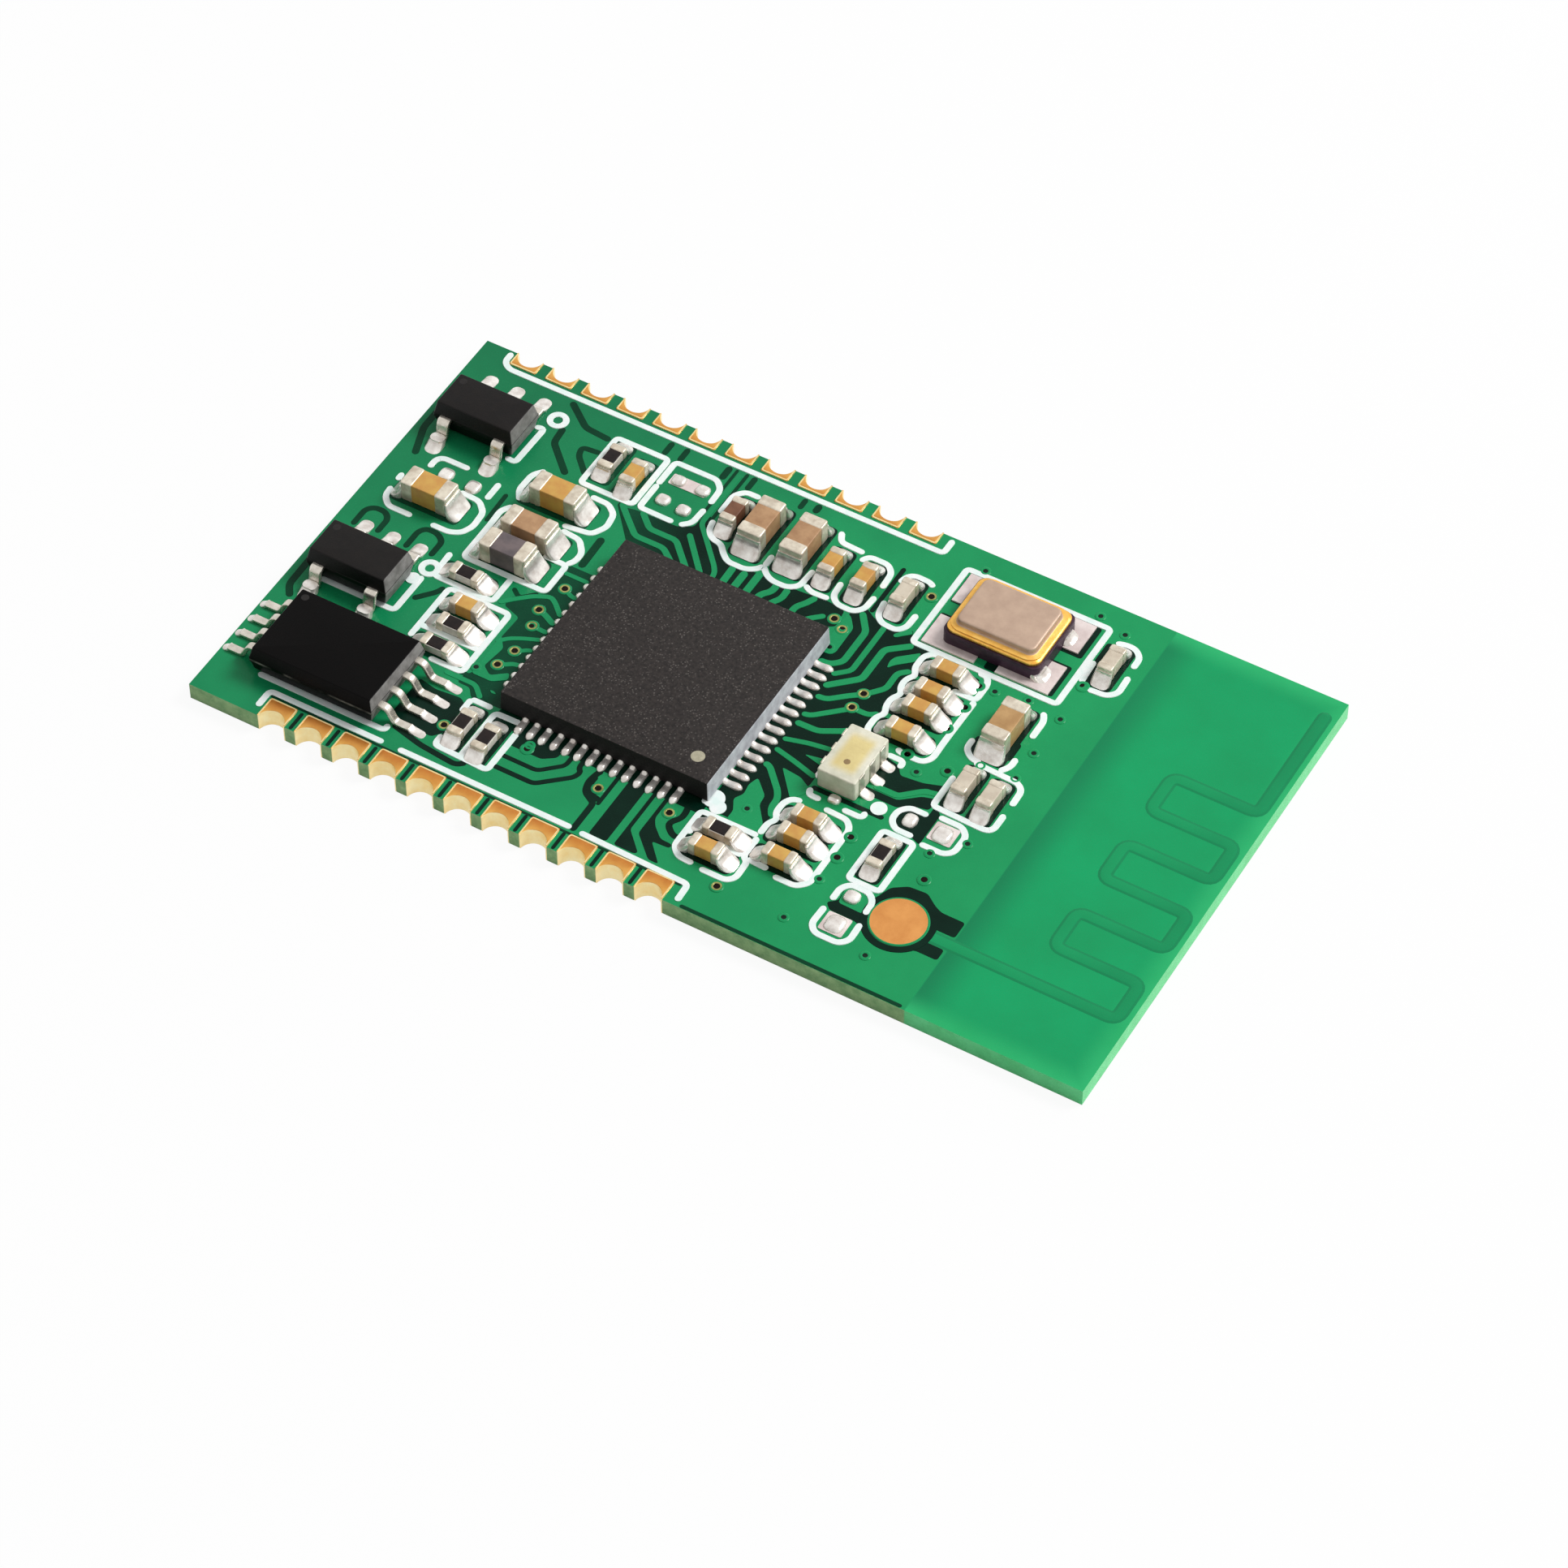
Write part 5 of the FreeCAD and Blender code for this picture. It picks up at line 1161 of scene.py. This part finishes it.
low, high = box_of("crystal_seal_ring")
ring_steps = [(0.03, 0), (0.0, 0.12), (0.0, 0.7), (0.02, 0.85), (0.06, 0.9), (0.08, 1.0), (0.14, 1.0)]
ring = stepped(low, high, 0.3, ring_steps)
piece("crystal_gold_ring", [(ring, 0)], [gold_finish], ["crystal_seal_ring"])
low, high = box_of("crystal_lid")
tree = lid_finish.node_tree
flange = ramp(tree, place_axes(tree)[2], low[2] + 0.07, low[2] + 0.055)
part_of_colour(lid_finish, flange, (250, 198, 100), (236, 172, 72), patches=4.0)
lid_steps = [
    (0.01, 0), (0.0, 0.03), (0.0, 0.15), (0.03, 0.19), (0.14, 0.2), (0.18, 0.28), (0.2, 0.45),
    (0.205, 0.82), (0.22, 0.93), (0.25, 0.985), (0.3, 1.0),
]
lid = stepped(low, high, 0.42, lid_steps)
piece("crystal_nickel_lid", [(lid, 0)], [lid_finish], ["crystal_lid"])
land_finish = finish(
    "dull_solder_land", (246, 232, 228), (214, 196, 192),
    patches=1.4, rough=(0.28, 0.42), relief=5.0, depth=0.003, metallic=0.12, gloss=0.4,
)
dress("crystal_lands", land_finish)
# Solder runs out over the two east lands
low, high = box_of("crystal_base")
toes += [(high[0], low[1] + 0.3, 0, 0.52), (high[0], high[1] - 0.55, 0, 0.5)]


# Balun: a block of cream ceramic with rounded edges, three silver terminals down each long side,
# and a dot printed on top
cream_finish = finish(
    "cream_ceramic", (238, 234, 214), (214, 212, 190),
    patches=2.6, rough=(0.25, 0.42), relief=9.0, depth=0.006, gloss=0.3,
)
low, high = box_of("balun_body")
middle = (low + high) / 2
tree = cream_finish.node_tree
x, y, z = place_axes(tree)
side_x = maths(tree, "ABSOLUTE", maths(tree, "SUBTRACT", x, middle[0]))
side_y = maths(tree, "ABSOLUTE", maths(tree, "SUBTRACT", y, middle[1]))
inside = maths(tree, "MULTIPLY", ramp(tree, side_x, 0.52, 0.26), ramp(tree, side_y, 0.86, 0.5))
inside = maths(tree, "MULTIPLY", inside, ramp(tree, z, high[2] - 0.05, high[2] - 0.02))
part_of_colour(cream_finish, inside, (232, 214, 150), (222, 202, 140), patches=2.2)
printed_dot = print_dot(middle[0], middle[1] - 0.35, 0.1, 0.11, high[2])
body = block(low, high, 0.07, 0.05)
brown_dot = finish(
    "brown_print_dot", (150, 124, 84), (128, 104, 70),
    patches=9.0, rough=(0.4, 0.6), relief=20.0, depth=0.002,
)
piece("balun", [(body, 0), (printed_dot, 1)], [cream_finish, brown_dot], ["balun_body"])
plate_finish = finish(
    "silver_plate", (214, 210, 196), (186, 178, 160),
    patches=5.0, rough=(0.3, 0.5), relief=16.0, depth=0.005, metallic=0.7,
)
plate_pitch = 0.6
plate_width = 0.3
plate_rise = 0.75
plate_depth = 0.03
plates = []
for side in (-1, 1):
    wall = middle[0] + side * (high - low)[0] / 2
    for n in (-1, 0, 1):
        y = middle[1] + n * plate_pitch
        near = (wall - plate_depth, y - plate_width / 2, top)
        far = (wall + plate_depth, y + plate_width / 2, top + plate_rise)
        plates.append((block(near, far, 0.02, 0.015), 0))
        toes.append((wall + side * plate_depth, y, 0 if side > 0 else 180, plate_width))
piece("balun_plates", plates, [plate_finish], ["balun_terminals"])


# Chip capacitors, inductors and resistors: blocks of fired ceramic with a dipped and tinned cap on
# each end. Resistors are thin white alumina with a black glaze on top.
ceramics = {
    name: finish(name, tint, shade, 2.4, (0.3, 0.42), 14.0, 0.003, gloss=gloss)
    for name, tint, shade, gloss in (
        ("tan_ceramic", (216, 172, 92), (206, 150, 82), 0.25),
        ("brown_ceramic", (192, 152, 114), (168, 128, 94), 0.25),
        ("beige_ceramic", (198, 158, 108), (178, 138, 92), 0.25),
        ("dark_ceramic", (132, 92, 70), (112, 76, 58), 0.25),
        ("gray_ceramic", (118, 106, 106), (98, 90, 92), 0.25),
        ("pale_ceramic", (220, 208, 188), (202, 188, 168), 0.3),
    )
}
glaze_finish = finish(
    "black_glaze", (38, 28, 26), (26, 20, 20),
    patches=6.0, rough=(0.3, 0.5), relief=20.0, depth=0.003, gloss=0.2,
)
alumina_finish = finish(
    "white_alumina", (226, 220, 210), (204, 196, 186),
    patches=6.0, rough=(0.4, 0.6), relief=20.0, depth=0.003, gloss=0.3,
)
cap_finish = finish(
    "tinned_cap", (234, 224, 204), (196, 182, 162),
    patches=4.0, rough=(0.28, 0.42), relief=5.0, depth=0.003, metallic=0.4,
)
long_cap, short_cap = 0.41, 0.26
large_part = 1.3
recess = 0.02
glaze_depth = 0.03
brown_parts = ("capacitor_3", "capacitor_7", "capacitor_8")


def ceramic_of(node, large, x):
    """The ceramic of a chip part and a slot name that nothing uses, by its kind, size and place."""
    if node == "capacitor_6":
        return "dark_ceramic", "brown_ceramic"
    if large and x > 5:
        return "beige_ceramic", "brown_ceramic"
    if node.startswith("inductor"):
        return ("gray_ceramic", "gray_ceramic") if large else ("pale_ceramic", "gray_ceramic")
    return ("brown_ceramic", "brown_ceramic") if node in brown_parts else ("tan_ceramic", "tan_ceramic")


joints = []
for node in sorted(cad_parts):
    if not node.startswith(part_names):
        continue
    low, high = box_of(node)
    size, middle = high - low, (low + high) / 2
    along = int(size[1] > size[0])
    large = size[along] > large_part
    cap = long_cap if large else short_cap
    margin = np.full(3, recess)
    margin[along] = cap * 0.6
    inner_low, inner_high = low + margin, high - margin
    if node.startswith("resistor"):
        slab_high = inner_high - (0, 0, glaze_depth)
        inset = np.zeros(3)
        inset[1 - along] = glaze_depth
        glaze_low, glaze_high = inner_low + inset, inner_high - inset
        glaze_low[2] = slab_high[2] - 0.01
        slab, glaze = block(inner_low, slab_high, 0.02, 0.015), block(glaze_low, glaze_high, 0.02, 0.015)
        skins = [(slab, 0), (glaze, 2)]
        materials, slot = [alumina_finish, cap_finish, glaze_finish], "resistor_glaze"
    else:
        ceramic, slot = ceramic_of(node, large, middle[0])
        skins, materials = [(block(inner_low, inner_high, 0.04, 0.03), 0)], [ceramics[ceramic], cap_finish]
    for side in (-1, 1):
        cap_low, cap_high = low.copy(), high.copy()
        if side < 0:
            cap_high[along] = low[along] + cap
        else:
            cap_low[along] = high[along] - cap
        skins.append((block(cap_low, cap_high, 0.07, 0.05), 1))
        end = middle[:2].copy()
        end[along] += side * size[along] / 2
        joints.append((end[0], end[1], along * 90 + (0 if side > 0 else 180), size[1 - along], size[2]))
    piece(f"chip_{node}", skins, materials, [node])


# Solder joints: reflowed solder drawn up each cap's end and out over its land, wide and bright at
# the foot. The leads and the balun's plates have smaller ones.
def wave(run, rise, width, sink=0.05):
    """A fillet: rows of round-cornered outlines from the board up. The run falls off with height as
    a power of the share left, and the width draws in a little."""
    share = np.linspace(0, 1, 12) ** 1.2
    reach = run * ((1 - share) ** 1.7 * 0.92 + 0.08)
    half_x = (reach + sink) / 2
    half_y = width / 2 * (1 - 0.16 * share ** 2) * np.minimum(1, 0.985 + share)
    outline = rounded_outline(half_x, half_y, np.minimum(half_x, half_y) * 0.85, 5)
    outline[..., 0] += ((reach - sink) / 2)[:, None]
    return walled(outline, rise * share)


# How far the solder runs out and climbs, how much wider it is than the metal, and how far it
# reaches back under it
fillets = []
for x, y, turn, width, height in joints:
    run, spread = (0.5, 1.32) if turn == 0 and width < 0.6 else (0.42, 1.18)
    made = wave(run, height * 0.7, width * spread)
    fillets.append((placed(made, x, y, top, turn), 0))
for x, y, turn, width in toes:
    if width > 0.35 and turn == 90:
        run, rise, spread, sink = 0.56, 0.12, 1.15, 0.05
    elif width > 0.35:
        run, rise, spread, sink = 0.36, 0.24, 1.35, 0.3
    else:
        rise, spread, sink = 0.13, 1.15, 0.05
        run = 0.22 if turn else 0.5 if width < 0.28 else 0.38
    fillets.append((placed(wave(run, rise, width * spread, sink), x, y, top, turn), 0))
piece("solder_fillets", fillets, [solder_finish], ["solder_joints"], sharp=60)

# Tinned lands without parts carry low domes of solder, (x, y, length, width) in millimetres from
# the board's south-west corner. Three of them have a flat tinned land under them as well.
dome_height = 0.135
domes = []
dome_places = [
    (1.97, 10.78, 0.5, 0.5), (2.94, 10.74, 0.5, 0.5), (8.13, 14.06, 0.48, 0.42),
    (8.95, 14.06, 0.48, 0.42), (8.11, 13.16, 0.48, 0.42), (8.85, 13.09, 0.48, 0.42),
    (20.61, 6.0, 0.45, 0.5), (21.67, 6.0, 0.62, 0.62), (20.58, 2.75, 0.5, 0.45),
    (20.66, 1.67, 0.62, 0.62), (18.36, 5.6, 0.4, 0.32),
]
flat_lands = [(25.8, 6.95, 0.45, 0.42), (24.58, 1.75, 0.45, 0.42), (10.1, 16.5, 0.75, 0.26)]
t = np.linspace(-1, 1, 15)
profile = np.sqrt(np.maximum(1 - np.abs(t) ** 3.2, 0.0004))
for x, y, length, width in dome_places:
    dome = loaf(t * length / 2, width / 2 * profile ** 0.8, dome_height * profile, 0.7)
    domes.append((placed(dome, x + board_low[0], y + board_low[1], top), 0))
for x, y, half_x, half_y in flat_lands:
    spots = on_board(rectangle((x - half_x, y - half_y), (x + half_x, y + half_y)))
    domes.append((patch(spots, top - 0.01, top + 0.022, 0.06), 1))
piece("solder_domes", domes, [solder_finish, land_finish], ["tinned_pads"], sharp=60)


# Stage: a white table and a studio that is brighter on the side of the key light, which stands
# high in the north-east
table_half = 3.0
table_gap = 0.00002
corners = rectangle((-table_half, -table_half), (table_half, table_half))
floor_mesh = bpy.data.meshes.new("floor")
floor_mesh.from_pydata(np.column_stack([corners, np.zeros(4)]), [], [(0, 1, 2, 3)])
floor = bpy.data.objects.new("floor", floor_mesh)
bpy.context.scene.collection.objects.link(floor)
floor.location.z = -table_gap
floor_finish = bpy.data.materials.new("white_table")
floor_finish.use_nodes = True
tree = floor_finish.node_tree
shader = tree.nodes["Principled BSDF"]
plug(tree, shader, {"Base Color": (0.9, 0.9, 0.9, 1), "Roughness": 0.9})


def seen_rays(tree):
    """1 for rays from the camera and from glossy surfaces, which show the white of the studio."""
    path = add(tree, "ShaderNodeLightPath")
    return maths(tree, "MAXIMUM", path.outputs["Is Camera Ray"], path.outputs["Is Glossy Ray"])


whiteness = 0.93
white = add(tree, "ShaderNodeEmission", {"Color": (1, 1, 1, 1), "Strength": 1.0})
mixed = add(tree, "ShaderNodeMixShader", {
    0: maths(tree, "MULTIPLY", seen_rays(tree), whiteness), 1: shader.outputs[0], 2: white.outputs[0],
})
plug(tree, tree.nodes["Material Output"], {"Surface": mixed.outputs[0]})
floor_mesh.materials.append(floor_finish)

world = bpy.data.worlds.new("studio")
bpy.context.scene.world = world
world.use_nodes = True
tree = world.node_tree
toward = add(tree, "ShaderNodeVectorMath", {
    0: add(tree, "ShaderNodeTexCoord").outputs["Generated"], 1: (0.55, 0.6, 0.58),
}, operation="DOT_PRODUCT").outputs["Value"]
soft = add(tree, "ShaderNodeMapRange", {
    "Value": toward, "From Min": -0.6, "From Max": 1.0, "To Min": 0.1, "To Max": 0.72,
})
strength = add(tree, "ShaderNodeMix", {
    "Factor": seen_rays(tree), 2: soft.outputs["Result"], 3: 1.0,
}, data_type="FLOAT")
plug(tree, tree.nodes["Background"], {"Strength": strength.outputs[0], "Color": (1, 1, 1, 1)})

lamp_place = Vector((0.21, 0.22, 0.34))
lamp = bpy.data.objects.new("key", bpy.data.lights.new("key", "AREA"))
bpy.context.scene.collection.objects.link(lamp)
lamp.data.size = 0.16
lamp.data.energy = 1.4
lamp.location = lamp_place
lamp.rotation_mode = "QUATERNION"
lamp.rotation_quaternion = (-lamp_place).to_track_quat("-Z", "Y")
